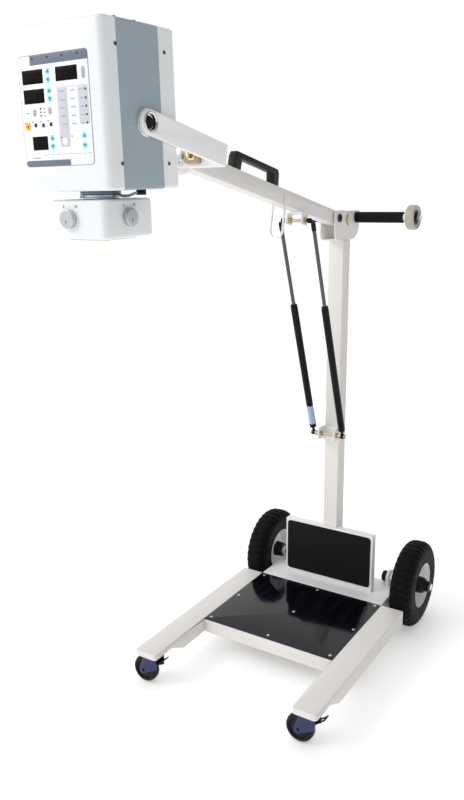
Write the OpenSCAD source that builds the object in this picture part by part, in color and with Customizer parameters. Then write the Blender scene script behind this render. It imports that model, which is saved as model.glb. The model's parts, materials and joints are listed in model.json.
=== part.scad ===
// Mobile x-ray stand: wheeled base, square mast, gas-spring balanced arm, fork,
// monobloc x-ray head and beam-limiting collimator. All sizes in millimetres.
// Left is -X, right is +X, the legs and the head point towards -Y.

/* [Base] */
// Clear width between the two legs
leg_gap = 403; // [340:1:480]
// Width of a leg tube
leg_w = 68; // [50:1:90]
// Height of a leg tube
leg_h = 43; // [34:1:60]
// Height of the top of the legs above the floor
leg_top = 109; // [96:1:130]
// Reach of the legs in front of the mast centre
leg_reach = 648; // [560:1:760]
// Distance from the mast centre to the rear end of the legs
leg_rear = 88; // [80:1:110]
// Wall of the leg tubes
leg_wall = 3; // [2:0.5:5]
// Thickness of the leg nose above the caster
nose_h = 17; // [14:1:22]
// Length of the thin leg nose
nose_l = 76; // [66:1:95]
// Length of the slanted cut behind the nose
nose_slope = 52; // [30:1:70]
// Length of the foot plate
plate_l = 330; // [260:1:380]
// Thickness of the foot plate
plate_t = 3; // [2:0.5:5]
// Depth of the front crossbeam
beam_d = 40; // [30:1:50]
// Rear edge of the deck behind the mast centre
deck_rear = 64; // [50:1:90]
// Wall of the crossbeam and the deck
deck_wall = 3; // [2:0.5:5]

/* [Shroud] */
// Width of the mast shroud
shroud_w = 292; // [200:1:330]
// Height of the top of the shroud
shroud_top = 291; // [220:1:340]
// Depth of the shroud
shroud_d = 23; // [18:1:30]
// Wall of the shroud
shroud_wall = 2; // [1.5:0.5:4]
// Thickness of the black pad
pad_t = 2; // [1:0.5:4]

/* [Wheels] */
// Radius of the rear tyres
tyre_r = 130; // [110:1:150]
// Width of the rear tyres
tyre_w = 68; // [54:1:80]
// Distance from the mast centre back to the rear axle
axle_back = 54; // [46:1:60]
// Distance from the centre plane to the middle of a rear wheel
wheel_x = 245; // [242:1:262]
// Radius of the rear axle bolts
axle_r = 10; // [8:0.5:12]
// Radius of the rim flange
rim_r = 75; // [66:1:82]

/* [Casters] */
// Radius of the caster wheels
caster_r = 37.5; // [32:0.5:38.5]
// Width of the caster wheels
caster_w = 28; // [20:1:32]
// Trail of the casters
trail = 25; // [20:1:30]
// Way that the casters trail at rest
caster_turn = 180; // [0:5:355]
// Distance from the leg front back to the caster stem
stem_back = 36; // [30:1:42]
// Radius of the caster stem
stem_r = 6; // [5:0.5:8]

/* [Mast] */
// Side of the square mast tube
mast_w = 46; // [40:1:54]
// Wall of the mast tube
mast_wall = 3; // [2:0.5:5]
// Height of the top of the mast tube
mast_top = 1156; // [1000:1:1300]
// Height of the mast head cheeks
cheek_h = 79; // [72:1:90]
// Front edge of the cheeks before the mast centre
cheek_front = 80; // [76:1:95]
// Rear edge of the cheeks behind the mast centre
cheek_rear = 80; // [76:1:95]
// Thickness of the cheeks
cheek_t = 4; // [3:0.5:6]

/* [Handlebar] */
// Distance of the bar behind the mast centre
bar_back = 55; // [48:1:60]
// Height of the bar above the mast top
bar_up = 60; // [52:1:62]
// Radius of the bar
bar_r = 11; // [9:0.5:13]
// Radius of the foam grips
grip_r = 15; // [14:0.5:18]
// Outer end of the right grip
grip_right = 167; // [140:1:200]
// Outer end of the left grip
grip_left = 130; // [100:1:200]
// Radius of the bar end wheel
bar_wheel_r = 33.5; // [28:0.5:40]
// Width of the bar end wheel
bar_wheel_w = 26; // [20:1:32]

/* [Arm] */
// Rise of the arm at rest, degrees
arm_tilt = 11; // [5:1:16]
// Pivot to trunnion distance
arm_l = 946; // [880:1:1050]
// Pivot before the mast centre
pivot_fwd = 57; // [50:1:62]
// Pivot above the mast top
pivot_up = 60.5; // [54:0.5:64]
// Width of the arm tube
arm_w = 30; // [26:1:34]
// Height of the arm tube
arm_h = 38; // [34:1:44]
// Wall of the arm tube
arm_wall = 2.5; // [2:0.5:4]
// Radius of the pivot bolt
pivot_r = 8; // [6:0.5:9]
// Length of the carry handle
handle_l = 202; // [160:1:230]
// Height of the carry handle
handle_h = 40; // [34:1:52]
// Distance from the pivot to the rear end of the carry handle
handle_from = 325; // [315:1:360]
// Depth of the cable hook below the arm
hook_drop = 80; // [60:1:100]
// Distance from the pivot to the cable hook
hook_at = 298; // [250:1:310]

/* [Gas springs] */
// Distance of the lower eyes from the centre plane
spring_x = 46.5; // [42:0.5:52]
// How much closer together the upper ends are, each side
spring_splay = 9; // [0:0.5:12]
// Upper stud, distance along the arm
stud_along = 201; // [180:1:215]
// Upper stud, distance below the arm axis
stud_below = 40; // [36:1:46]
// Lower stud, height above the floor
low_stud_z = 592; // [540:1:640]
// Lower stud, distance in front of the mast centre
low_stud_fwd = 48; // [42:1:56]
// Radius of the gas spring cylinders
cyl_r = 10; // [9:0.5:11.5]
// Radius of the gas spring rods
rod_r = 5; // [4:0.5:6]
// Length of the gas spring cylinders
cyl_l = 401; // [360:1:420]
// Radius of the studs
stud_r = 4; // [3:0.5:5]

/* [Fork] */
// Height of the fork bar
fork_h = 42; // [38:1:50]
// Thickness of the fork bar
fork_t = 8; // [6:0.5:10]
// Thickness of the swivel flange
flange_t = 8; // [6:1:12]
// Distance from the fork crossbar to the trunnion
fork_l = 238; // [228:1:270]
// Radius of the trunnion pins
trunnion_r = 14; // [11:0.5:16]

/* [Head] */
// Width of the head
head_w = 195; // [170:1:215]
// Height of the head above the trunnion
head_up = 154.5; // [130:0.5:165]
// Depth of the head below the trunnion
head_down = 108; // [95:1:112]
// Depth of the head before the trunnion
head_front_d = 98; // [90:1:102]
// Depth of the head behind the trunnion
head_rear_d = 94; // [86:1:100]
// Depth of the front cover
front_cover_d = 36; // [28:1:40]
// Depth of the rear cover
rear_cover_d = 49; // [40:1:54]
// Radius of the upright edges of the covers
head_edge_r = 12; // [6:1:18]
// Wall of the covers and the band
head_wall = 3; // [2:0.5:5]
// Lean of the head at rest, degrees
head_tilt = 1.6; // [-10:0.2:10]
// Width of the control panel
panel_w = 154; // [130:1:168]
// Height of the control panel
panel_h = 174; // [150:1:190]

/* [Collimator] */
// Width of the collimator
col_w = 129; // [110:1:136]
// Depth of the collimator
col_d = 131; // [112:1:136]
// Height of the collimator
col_h = 66; // [58:1:72]
// Radius of the turntable
turn_r = 36; // [32:1:44]
// Height of the turntable
turn_h = 14; // [12:1:18]
// Beam axis before the trunnion
beam_fwd = 13; // [4:1:16]
// Radius of the knobs
knob_r = 16; // [12:0.5:18]
// Depth of the knobs
knob_d = 9; // [8:1:16]
// Clear opening between a pair of blades
blade_gap = 32; // [28:1:36]

/* [Clearances] */
// Radial clearance of pins that turn
run_fit = 0.05; // [0.02:0.01:0.1]
// Gap between faces that move past each other
face_gap = 0.4; // [0.3:0.1:1]
// Gap around pieces fixed together
seat_gap = 0.2; // [0.1:0.1:0.5]

/* [Hidden] */
$fn = 64;
leg_in = leg_gap / 2;
leg_out = leg_in + leg_w;
leg_mid = leg_in + leg_w / 2;
leg_bottom = leg_top - leg_h;
nose_under = leg_top - nose_h;
nose_round = 10;
ledge_w = 26;
ledge_t = 4;
plate_under = leg_top - plate_t;
plate_rear = leg_rear + 1;
plate_front = plate_rear + plate_l;
rib_w = 30;
rib_t = 8;
lip_d = 30;
screw_r = 2.5;
screw_head_r = 4.5;
screw_inset = 14;
screw_hole_r = screw_r + seat_gap;
screw_xs = [-leg_in + screw_inset, 0, leg_in - screw_inset];
screw_ys = [-plate_front + 16, -(plate_front + plate_rear) / 2, -plate_rear - 12];
bracket_x = 166;
bracket_t = 10;
bracket_r = 23;
nut_r = 17;
nut_l = 18;
nut_seat = 14;
hub_r = 25;
hub_in = leg_in + 2;
hub_out = wheel_x + tyre_w / 2 + 5;
outer_nut_l = 13;
axle_y = axle_back;
axle_z = tyre_r;
barrel_r = rim_r - 8;
rim_half = tyre_w / 2 - 3;
rim_sheet = 3;
web_t = 8;
tread_round = tyre_w / 2 - 12;
bead_round = 10;
stem_y = -leg_reach + stem_back;
stem_top = leg_top - 3;
crown_r = 21;
crown_top = nose_under - face_gap;
crown_t = 7;
yoke_top = crown_top - crown_t;
yoke_t = 5;
fork_gap = 2;
fork_sheet = 3;
fork_v = caster_w / 2 + fork_gap;
caster_axle_r = 5;
pedal_u = -12;
pedal_z = 60;
pedal_pin_r = 3;
pedal_hub_r = 5;
pedal_rise = 40;
pedal_l = 41;
pedal_w = 2 * fork_v - 2 * face_gap;
pedal_t = 3;
foot_w = 120;
foot_back = 50;
foot_t = 6;
gusset_h = 90;
gusset_t = 4;
shroud_front = mast_w / 2 + 10;
pad_margin = 6;
pad_low = 14;
pad_round = 10;
cheek_x = mast_w / 2 + 1;
cheek_in = cheek_x - cheek_t;
cheek_top = mast_top + cheek_h;
cheek_round_f = 22;
cheek_round_r = 46;
floor_t = 4;
bar_y = bar_back;
bar_z = mast_top + bar_up;
bar_end = grip_right + 7;
bar_wheel_in = grip_right + 13;
bar_stud_r = 6;
bar_hub_r = 20;
bar_nut_r = 7;
washer_r = 9;
pivot_y = -pivot_fwd;
pivot_z = mast_top + pivot_up;
pivot_boss_r = 14;
arm_tail = 25;
arm_nose = arm_l - fork_l - face_gap - flange_t;
flange_r = 32;
swivel_r = 9;
swivel_nut_r = 12;
swivel_nut_l = 8;
swivel_head_r = 15;
swivel_head_t = 12;
handle_w = 20;
handle_bar = 13;
handle_post = 32;
hook_w = 8;
hook_t = 3;
hook_up = 4;
up_plate_d = 30;
up_plate_t = 4;
up_plate_x = 24;
low_plate_x = mast_w / 2 + 4;
low_plate_t = 4;
low_plate_h = 38;
eye_r = 7;
eye_w = 9;
cyl_foot = 20;
gland_l = 6;
cyl_wall = 1.5;
socket_r = 6.5;
socket_l = 26;
socket_half = 5.5;
stud_gap = 1.4;
stud_end = spring_x - spring_splay - socket_half - stud_gap;
trun_y = pivot_y - arm_l * cos(arm_tilt);
trun_z = pivot_z + arm_l * sin(arm_tilt);
up_y = pivot_y - stud_along * cos(arm_tilt) - stud_below * sin(arm_tilt);
up_z = pivot_z + stud_along * sin(arm_tilt) - stud_below * cos(arm_tilt);
low_y = -low_stud_fwd;
spring_dy = low_y - up_y;
spring_dz = up_z - low_stud_z;
spring_side_l = sqrt(spring_dy * spring_dy + spring_dz * spring_dz);
spring_l = sqrt(spring_side_l * spring_side_l + spring_splay * spring_splay);
spring_lean = atan(spring_dy / spring_dz);
spring_turn = atan(spring_splay / spring_side_l);
head_x = head_w / 2;
hub_plate_t = 2.5;
hub_plate_r = 23;
tine_in = head_x + hub_plate_t + face_gap;
tine_out = tine_in + fork_t;
ring_r = trunnion_r + 4;
ring_t = 2;
band_front = -head_front_d + front_cover_d;
band_rear = head_rear_d - rear_cover_d;
panel_t = 1;
panel_x = -9.5;
panel_z = 20.5;
panel_round = 7;
case_screw_r = 3;
case_screw_h = 1.2;
tank_gap = 12;
tank_wall = 6;
tank_x = head_x - head_wall - tank_gap;
tank_front = band_front + 6;
tank_rear = band_rear - 6;
tank_bottom = -head_down + head_wall + 10;
tank_top = head_up - head_wall - tank_gap;
tube_z = -35;
turn_neck_r = 29;
turn_lip_r = 33;
turn_lip_t = 2.5;
turn_bore_r = 24;
turn_top = -head_down;
turn_bottom = -head_down - turn_h;
col_top = turn_bottom - face_gap;
col_bottom = col_top - col_h;
col_wall = 3;
col_edge_r = 12;
beam_r = 24;
port_r = 18;
window_w = 84;
window_t = 6;
knob_x = -16;
side_knob_fwd = 5;
knob_z = col_top - 31;
knob_pin_r = 4;
blade_w = 70;
blade_l = 26;
blade_t = 3;
blade_upper = col_top - 14;
blade_lower = col_top - 22;
lead_r = 2.5;
lead_pts = [for (p = [[39, 7, -5], [33, 6, -5.5], [27, 4.5, -7.5], [20, 2.5, -9.6], [13, 0.5, -10.2],
            [6, -1, -9.4], [0, -2, -7.2], [-5, -3, -5]]) [turn_r, -beam_fwd / 2, -head_down] + p];
plug_x = turn_r + 34;
plug_y = -2;
rear_reach = axle_back + tyre_r;
front_reach = -trun_y + head_front_d * cos(head_tilt) + head_up * sin(head_tilt);
mast_y = (front_reach - rear_reach) / 2;

// ---- frames: every module draws in the frame of the piece that carries it ----
module at_mast() { translate([0, mast_y, 0]) children(); }
module at_arm() { at_mast() translate([0, pivot_y, pivot_z]) rotate([-arm_tilt, 0, 0]) children(); }
module at_head() { at_mast() translate([0, trun_y, trun_z]) rotate([head_tilt, 0, 0]) children(); }
module at_beam() { at_head() translate([0, -beam_fwd, 0]) children(); }
module at_axle(x) { at_mast() translate([x, axle_y, axle_z]) children(); }
module at_caster(side) {
    at_mast() translate([side * leg_mid, stem_y, 0]) rotate([0, 0, caster_turn]) children();
}
// spring frame: origin on the lower stud, +Z up the spring
module at_spring(side) {
    at_mast() translate([side * spring_x, low_y, low_stud_z]) rotate([spring_lean, 0, 0]) children();
}

// ---- helpers ----
// Cylinder along X from x0 to x1
module rod_x(x0, x1, r) { translate([x0, 0, 0]) rotate([0, 90, 0]) cylinder(h = x1 - x0, r = r); }
// Cylinder along Y from y0 to y1
module rod_y(y0, y1, r) { translate([0, y0, 0]) rotate([-90, 0, 0]) cylinder(h = y1 - y0, r = r); }
// Box between two corners
module box(a, b) { translate(a) cube(b - a); }
// Extrude a Y-Z outline along X
module slab_x(x0, x1) {
    translate([x0, 0, 0]) rotate([90, 0, 90]) linear_extrude(height = x1 - x0) children();
}
// Extrude an X-Z outline along -Y
module slab_y(y0, y1) {
    translate([0, y1, 0]) rotate([90, 0, 0]) linear_extrude(height = y1 - y0) children();
}
// Rounded rectangle, all four corners with radius r
module round_rect(w, h, r) {
    square([w - 2 * r, h], center = true);
    square([w, h - 2 * r], center = true);
    for (sx = [-1, 1], sy = [-1, 1]) translate([sx * (w / 2 - r), sy * (h / 2 - r)]) circle(r);
}
// Solid of revolution about X from an outline drawn as [radius, axial]
module spin_x() { rotate([0, 90, 0]) rotate_extrude() children(); }

// ---- base ----
// Side outline of a leg as Y-Z points, pulled in by a wall; full = 0 leaves the nose out
module leg_side(wall, nose_end) {
    polygon([[-leg_rear - wall, leg_bottom + wall], [-leg_rear - wall, leg_top - wall],
             [nose_end, leg_top - wall], [nose_end, nose_under + wall],
             [-leg_reach + nose_l, nose_under + wall],
             [-leg_reach + nose_l + nose_slope, leg_bottom + wall]]);
}

module leg(side) {
    x0 = side > 0 ? leg_in : -leg_out;
    ledge_x0 = side > 0 ? leg_in - ledge_w : -leg_in;
    at_mast() difference() {
        union() {
            intersection() {
                slab_x(x0, x0 + leg_w) leg_side(0, -leg_reach);
                translate([x0 + leg_w / 2, -(leg_reach + leg_rear) / 2, 0])
                    linear_extrude(height = leg_top + 1) union() {
                        round_rect(leg_w, leg_reach - leg_rear, nose_round);
                        translate([-leg_w / 2, 0]) square([leg_w, (leg_reach - leg_rear) / 2]);
                    }
            }
            box([ledge_x0, -plate_front + beam_d, plate_under - ledge_t],
                [ledge_x0 + ledge_w, -plate_rear - lip_d - 1, plate_under]);
        }
        slab_x(x0 + leg_wall, x0 + leg_w - leg_wall) leg_side(leg_wall, -leg_reach + nose_l + leg_wall);
        translate([side * leg_mid, stem_y, nose_under - 1])
            cylinder(h = stem_top - nose_under + 1 + seat_gap, r = stem_r + run_fit);
        translate([side * (leg_in - screw_inset), screw_ys[1], plate_under - ledge_t - 1])
            cylinder(h = ledge_t + 2, r = screw_hole_r);
    }
}

module left_leg() { color([0.85, 0.84, 0.80]) leg(-1); }
module right_leg() { color([0.85, 0.84, 0.80]) leg(1); }

module front_crossbeam() {
    color([0.87, 0.88, 0.88]) at_mast() difference() {
        box([-leg_in, -plate_front, leg_bottom], [leg_in, -plate_front + beam_d, plate_under]);
        box([-leg_in + deck_wall, -plate_front + deck_wall, leg_bottom + deck_wall],
            [leg_in - deck_wall, -plate_front + beam_d - deck_wall, plate_under - deck_wall]);
        for (x = screw_xs) translate([x, screw_ys[0], plate_under - deck_wall - 1])
            cylinder(h = deck_wall + 2, r = screw_hole_r);
    }
}

// Folded tray behind the foot plate, with the two upright wheel brackets welded on top
module rear_deck() {
    color([0.86, 0.87, 0.86]) at_mast() difference() {
        union() {
            box([-leg_in, -leg_rear, leg_bottom], [leg_in, deck_rear, leg_top]);
            box([-leg_in, -plate_rear - lip_d, plate_under - ledge_t],
                [leg_in, -leg_rear, plate_under]);
            for (s = [-1, 1]) {
                x0 = s > 0 ? bracket_x : -bracket_x - bracket_t;
                translate([0, axle_y, axle_z]) rod_x(x0, x0 + bracket_t, bracket_r);
                box([x0, axle_y - bracket_r, leg_top], [x0 + bracket_t, deck_rear, axle_z]);
            }
        }
        box([-leg_in + deck_wall, -leg_rear + deck_wall, leg_bottom - 1],
            [leg_in - deck_wall, deck_rear - deck_wall, leg_top - deck_wall]);
        translate([0, axle_y, axle_z]) rod_x(-leg_in, leg_in, axle_r + seat_gap);
        for (x = screw_xs) translate([x, screw_ys[2], plate_under - ledge_t - 1])
            cylinder(h = ledge_t + 2, r = screw_hole_r);
    }
}

module foot_plate() {
    color([0.03, 0.03, 0.04]) at_mast() difference() {
        union() {
            box([-leg_in + seat_gap, -plate_front, plate_under], [leg_in - seat_gap, -plate_rear, leg_top]);
            box([-leg_in + ledge_w + 2, screw_ys[1] - rib_w / 2, plate_under - rib_t],
                [leg_in - ledge_w - 2, screw_ys[1] + rib_w / 2, plate_under]);
        }
        for (x = screw_xs, y = screw_ys) translate([x, y, plate_under - rib_t - 1])
            cylinder(h = rib_t + plate_t + 2, r = screw_hole_r);
    }
}

module plate_screws() {
    color([0.55, 0.56, 0.58]) at_mast() for (x = screw_xs, y = screw_ys) translate([x, y, 0]) {
        translate([0, 0, plate_under - ledge_t - 1]) cylinder(h = ledge_t + plate_t + 1.5, r = screw_r);
        translate([0, 0, leg_top]) cylinder(h = 1.5, r1 = screw_head_r, r2 = screw_head_r - 1.5, $fn = 32);
    }
}

// Folded cover round the foot of the mast, open at the back, notched for the mast
module mast_shroud() {
    color([0.92, 0.92, 0.90]) at_mast() difference() {
        box([-shroud_w / 2, -shroud_front, leg_top],
            [shroud_w / 2, -shroud_front + shroud_d, shroud_top]);
        box([-shroud_w / 2 + shroud_wall, -shroud_front + shroud_wall, leg_top + shroud_wall],
            [shroud_w / 2 - shroud_wall, -shroud_front + shroud_d + 1, shroud_top - shroud_wall]);
        box([-mast_w / 2 - seat_gap, -mast_w / 2 - seat_gap, shroud_top - shroud_wall - 1],
            [mast_w / 2 + seat_gap, mast_w / 2, shroud_top + 1]);
        box([-foot_w / 2 - seat_gap, -mast_w / 2 - 4 - seat_gap, leg_top - 1],
            [foot_w / 2 + seat_gap, mast_w, leg_top + foot_t + seat_gap]);
    }
}

module shroud_pad() {
    pad_w = shroud_w - 2 * pad_margin;
    pad_h = shroud_top - leg_top - pad_margin - pad_low;
    color([0.07, 0.07, 0.08]) at_mast()
        translate([0, -shroud_front - pad_t, leg_top + pad_low + pad_h / 2])
            rotate([-90, 0, 0]) linear_extrude(height = pad_t) round_rect(pad_w, pad_h, pad_round);
}

// Square tube with its foot plate and two side gussets, welded
module mast() {
    half = mast_w / 2;
    color([0.88, 0.87, 0.86]) at_mast() {
        difference() {
            box([-half, -half, leg_top], [half, half, mast_top]);
            box([-half + mast_wall, -half + mast_wall, leg_top - 1],
                [half - mast_wall, half - mast_wall, mast_top + 1]);
        }
        difference() {
            box([-foot_w / 2, -half - 4, leg_top], [foot_w / 2, foot_back, leg_top + foot_t]);
            box([-half + mast_wall, -half + mast_wall, leg_top - 1],
                [half - mast_wall, half - mast_wall, leg_top + foot_t + 1]);
            for (s = [-1, 1], y = [0, foot_back - 14]) translate([s * (foot_w / 2 - 12), y, leg_top - 1])
                cylinder(h = foot_t + 2, r = 5);
        }
        for (s = [-1, 1]) translate([0, gusset_t / 2, leg_top + foot_t]) mirror([s > 0 ? 0 : 1, 0, 0])
            rotate([90, 0, 0]) linear_extrude(height = gusset_t)
                polygon([[half, 0], [foot_w / 2 - 22, 0], [half, gusset_h]]);
    }
}

// ---- rear wheels ----
// Stub axle bolts of the two rear wheels, with their spacer shoulders
module stub_axles() {
    color([0.75, 0.76, 0.78]) at_axle(0) for (s = [0, 1]) mirror([s, 0, 0]) {
        rod_x(bracket_x - nut_seat, hub_out + face_gap + outer_nut_l + 5, axle_r);
        rod_x(bracket_x + bracket_t, hub_in - face_gap, axle_r + 5);
    }
}

// Four round nuts, a capped one inside and an open one outside on each stub axle
module axle_nuts() {
    color([0.05, 0.05, 0.06]) at_axle(0) for (s = [0, 1]) mirror([s, 0, 0]) {
        difference() {
            rod_x(bracket_x - nut_l, bracket_x, nut_r);
            rod_x(bracket_x - nut_seat - seat_gap, bracket_x + 1, axle_r + seat_gap);
        }
        difference() {
            rod_x(hub_out + face_gap, hub_out + face_gap + outer_nut_l, nut_r - 1);
            rod_x(hub_out, hub_out + outer_nut_l + 2, axle_r + seat_gap);
        }
    }
}

module tyre(side) {
    color([0.03, 0.03, 0.03]) at_axle(side * wheel_x) spin_x() difference() {
        union() {
            translate([barrel_r + seat_gap, -rim_half + rim_sheet + seat_gap])
                square([tyre_r / 4, 2 * (rim_half - rim_sheet - seat_gap)]);
            translate([rim_r + 0.5 + bead_round, -tyre_w / 2])
                square([tyre_r - tread_round - rim_r - 0.5 - bead_round, tyre_w]);
            translate([rim_r + 0.5, -tyre_w / 2 + bead_round])
                square([bead_round + 1, tyre_w - 2 * bead_round]);
            translate([tyre_r - tread_round - 1, -tyre_w / 2 + tread_round])
                square([tread_round + 1, tyre_w - 2 * tread_round]);
            for (s = [-1, 1]) {
                translate([rim_r + 0.5 + bead_round, s * (tyre_w / 2 - bead_round)]) circle(bead_round);
                translate([tyre_r - tread_round, s * (tyre_w / 2 - tread_round)]) circle(tread_round);
            }
        }
        translate([0, -tyre_w]) square([barrel_r + seat_gap, 2 * tyre_w]);
    }
}
module left_tyre() { tyre(-1); }
module right_tyre() { tyre(1); }

module rim(side) {
    color([0.93, 0.93, 0.92]) at_axle(0) mirror([side > 0 ? 0 : 1, 0, 0]) {
        translate([wheel_x, 0, 0]) spin_x() union() {
            translate([barrel_r - rim_sheet, -rim_half]) square([rim_sheet, 2 * rim_half]);
            for (s = [-1, 1]) translate([barrel_r - rim_sheet, s > 0 ? rim_half - rim_sheet : -rim_half])
                square([rim_r - barrel_r + rim_sheet, rim_sheet]);
            translate([hub_r - 1, -web_t / 2]) square([barrel_r - rim_sheet / 2 - hub_r + 1, web_t]);
        }
        difference() {
            rod_x(hub_in, hub_out, hub_r);
            rod_x(hub_in - 1, hub_out + 1, axle_r + run_fit);
        }
    }
}
module left_rim() { rim(-1); }
module right_rim() { rim(1); }

// ---- casters, drawn trailing towards local +X with the stem on the Z axis ----
module caster_fork(side) {
    color([0.22, 0.23, 0.32]) at_caster(side) {
        translate([0, 0, crown_top]) cylinder(h = stem_top - crown_top, r = stem_r);
        translate([0, 0, yoke_top]) cylinder(h = crown_t, r = crown_r);
        box([-crown_r, -fork_v - fork_sheet, yoke_top - yoke_t], [crown_r, fork_v + fork_sheet, yoke_top]);
        for (s = [-1, 1]) {
            y0 = s > 0 ? fork_v : -fork_v - fork_sheet;
            translate([0, y0 + fork_sheet, 0]) rotate([90, 0, 0]) linear_extrude(height = fork_sheet)
                union() {
                    polygon([[-crown_r, yoke_top], [crown_r, yoke_top], [trail + 9, caster_r + 5],
                             [trail - 9, caster_r - 4], [-crown_r, pedal_z - 8]]);
                    translate([trail, caster_r]) circle(10);
                }
        }
        translate([trail, 0, caster_r]) rod_y(-fork_v - fork_sheet - 4, fork_v + fork_sheet + 4, caster_axle_r);
        translate([pedal_u, 0, pedal_z]) rod_y(-fork_v - fork_sheet, fork_v + fork_sheet, pedal_pin_r);
    }
}
module left_caster_fork() { caster_fork(-1); }
module right_caster_fork() { caster_fork(1); }

module caster_wheel(side) {
    round_r = caster_w / 2 - 2;
    color([0.05, 0.05, 0.07]) at_caster(side) translate([trail, 0, caster_r]) rotate([0, 0, 90])
        spin_x() difference() {
            union() {
                translate([0, -caster_w / 2]) square([caster_r - round_r, caster_w]);
                translate([0, -caster_w / 2 + round_r]) square([caster_r, caster_w - 2 * round_r]);
                for (s = [-1, 1]) translate([caster_r - round_r, s * (caster_w / 2 - round_r)])
                    circle(round_r);
            }
            translate([-caster_r, -caster_w]) square([caster_r + caster_axle_r + run_fit, 2 * caster_w]);
        }
}
module left_caster_wheel() { caster_wheel(-1); }
module right_caster_wheel() { caster_wheel(1); }

// Brake lever: slotted loop that stands up behind the fork
module caster_pedal(side) {
    color([0.04, 0.04, 0.05]) at_caster(side) translate([pedal_u, 0, pedal_z]) difference() {
        union() {
            rod_y(-pedal_w / 2, pedal_w / 2, pedal_hub_r);
            rotate([0, 180 + pedal_rise, 0])
                box([0, -11, -pedal_t / 2], [pedal_l, 11, pedal_t / 2]);
        }
        rod_y(-pedal_w, pedal_w, pedal_pin_r + run_fit);
        rotate([0, 180 + pedal_rise, 0]) box([pedal_l - 24, -6, -pedal_t], [pedal_l - 6, 6, pedal_t]);
    }
}
module left_caster_pedal() { caster_pedal(-1); }
module right_caster_pedal() { caster_pedal(1); }

// ---- mast head ----
// D-shaped cheek outline: flat top, small round below at the front, large round at the back
module cheek_outline() {
    difference() {
        translate([-cheek_front, mast_top]) square([cheek_front + cheek_rear, cheek_h]);
        translate([-cheek_front, mast_top]) square(cheek_round_f);
        translate([cheek_rear - cheek_round_r, mast_top]) square(cheek_round_r);
    }
    translate([-cheek_front + cheek_round_f, mast_top + cheek_round_f]) circle(cheek_round_f);
    translate([cheek_rear - cheek_round_r, mast_top + cheek_round_r]) circle(cheek_round_r);
}

module mast_head() {
    color([0.85, 0.84, 0.82]) at_mast() difference() {
        union() {
            for (x0 = [-cheek_x, cheek_in]) slab_x(x0, x0 + cheek_t) cheek_outline();
            box([-cheek_in, -cheek_front + cheek_round_f, mast_top],
                [cheek_in, cheek_rear - cheek_round_r, mast_top + floor_t]);
        }
        translate([0, pivot_y, pivot_z]) rod_x(-cheek_x - 1, cheek_x + 1, pivot_r + seat_gap);
        translate([0, bar_y, bar_z]) rod_x(-cheek_x - 1, cheek_x + 1, bar_r + seat_gap);
    }
}

module pivot_bolt() {
    color([0.35, 0.35, 0.36]) at_mast() translate([0, pivot_y, pivot_z]) difference() {
        union() {
            rod_x(-cheek_x - 6, cheek_x + 1, pivot_r);
            rod_x(cheek_x, cheek_x + 4, pivot_r + 3);
            rotate([0, 90, 0]) translate([0, 0, -cheek_x - 7]) cylinder(h = 7, r = pivot_r + 5, $fn = 6);
        }
        rotate([0, 90, 0]) translate([0, 0, cheek_x + 1]) cylinder(h = 4, r = 5, $fn = 6);
    }
}

module handlebar() {
    color([0.72, 0.73, 0.75]) at_mast() translate([0, bar_y, bar_z]) {
        rod_x(-grip_left + 4, bar_end, bar_r);
        rod_x(bar_end, bar_wheel_in - face_gap, washer_r);
        rod_x(bar_end, bar_wheel_in + bar_wheel_w + 12, bar_stud_r);
        rod_x(bar_wheel_in + bar_wheel_w + face_gap, bar_wheel_in + bar_wheel_w + 8, bar_nut_r);
    }
}

module grip(x0, x1, open_low, open_high) {
    color([0.05, 0.05, 0.06]) at_mast() translate([0, bar_y, bar_z]) difference() {
        rod_x(x0, x1, grip_r);
        rod_x(open_low, open_high, bar_r + seat_gap);
    }
}
module right_grip() { grip(cheek_x + seat_gap, grip_right, cheek_x - 1, grip_right + 1); }
module left_grip() { grip(-grip_left, -cheek_x - seat_gap, -grip_left + 4 - seat_gap, -cheek_x + 1); }

module bar_wheel_tyre() {
    round_r = bar_wheel_w / 2 - 1;
    color([0.70, 0.66, 0.62]) at_mast() translate([bar_wheel_in + bar_wheel_w / 2, bar_y, bar_z])
        spin_x() difference() {
            union() {
                translate([bar_hub_r, -bar_wheel_w / 2]) square([bar_wheel_r - round_r - bar_hub_r, bar_wheel_w]);
                translate([bar_hub_r, -1]) square([bar_wheel_r - bar_hub_r, 2]);
                for (s = [-1, 1]) translate([bar_wheel_r - round_r, s]) circle(round_r);
            }
            translate([0, -bar_wheel_w]) square([bar_hub_r, 2 * bar_wheel_w]);
        }
}

module bar_wheel_hub() {
    color([0.12, 0.12, 0.14]) at_mast() translate([bar_wheel_in, bar_y, bar_z]) difference() {
        rod_x(0, bar_wheel_w, bar_hub_r - seat_gap);
        rod_x(-1, bar_wheel_w + 1, bar_stud_r + run_fit);
    }
}

// ---- gas spring mounts and springs ----
module lower_bracket() {
    half = mast_w / 2;
    color([0.90, 0.89, 0.86]) at_mast() difference() {
        union() {
            box([-low_plate_x, -half - low_plate_t, low_stud_z - low_plate_h / 2 - 8],
                [low_plate_x, -half, low_stud_z + low_plate_h / 2]);
            for (x0 = [-low_plate_x, low_plate_x - low_plate_t]) {
                box([x0, low_y, low_stud_z - low_plate_h / 2],
                    [x0 + low_plate_t, -half, low_stud_z + low_plate_h / 2]);
                translate([0, low_y, low_stud_z]) rod_x(x0, x0 + low_plate_t, low_plate_h / 2);
            }
        }
        translate([0, low_y, low_stud_z]) rod_x(-low_plate_x - 1, low_plate_x + 1, stud_r + seat_gap);
    }
}

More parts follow.
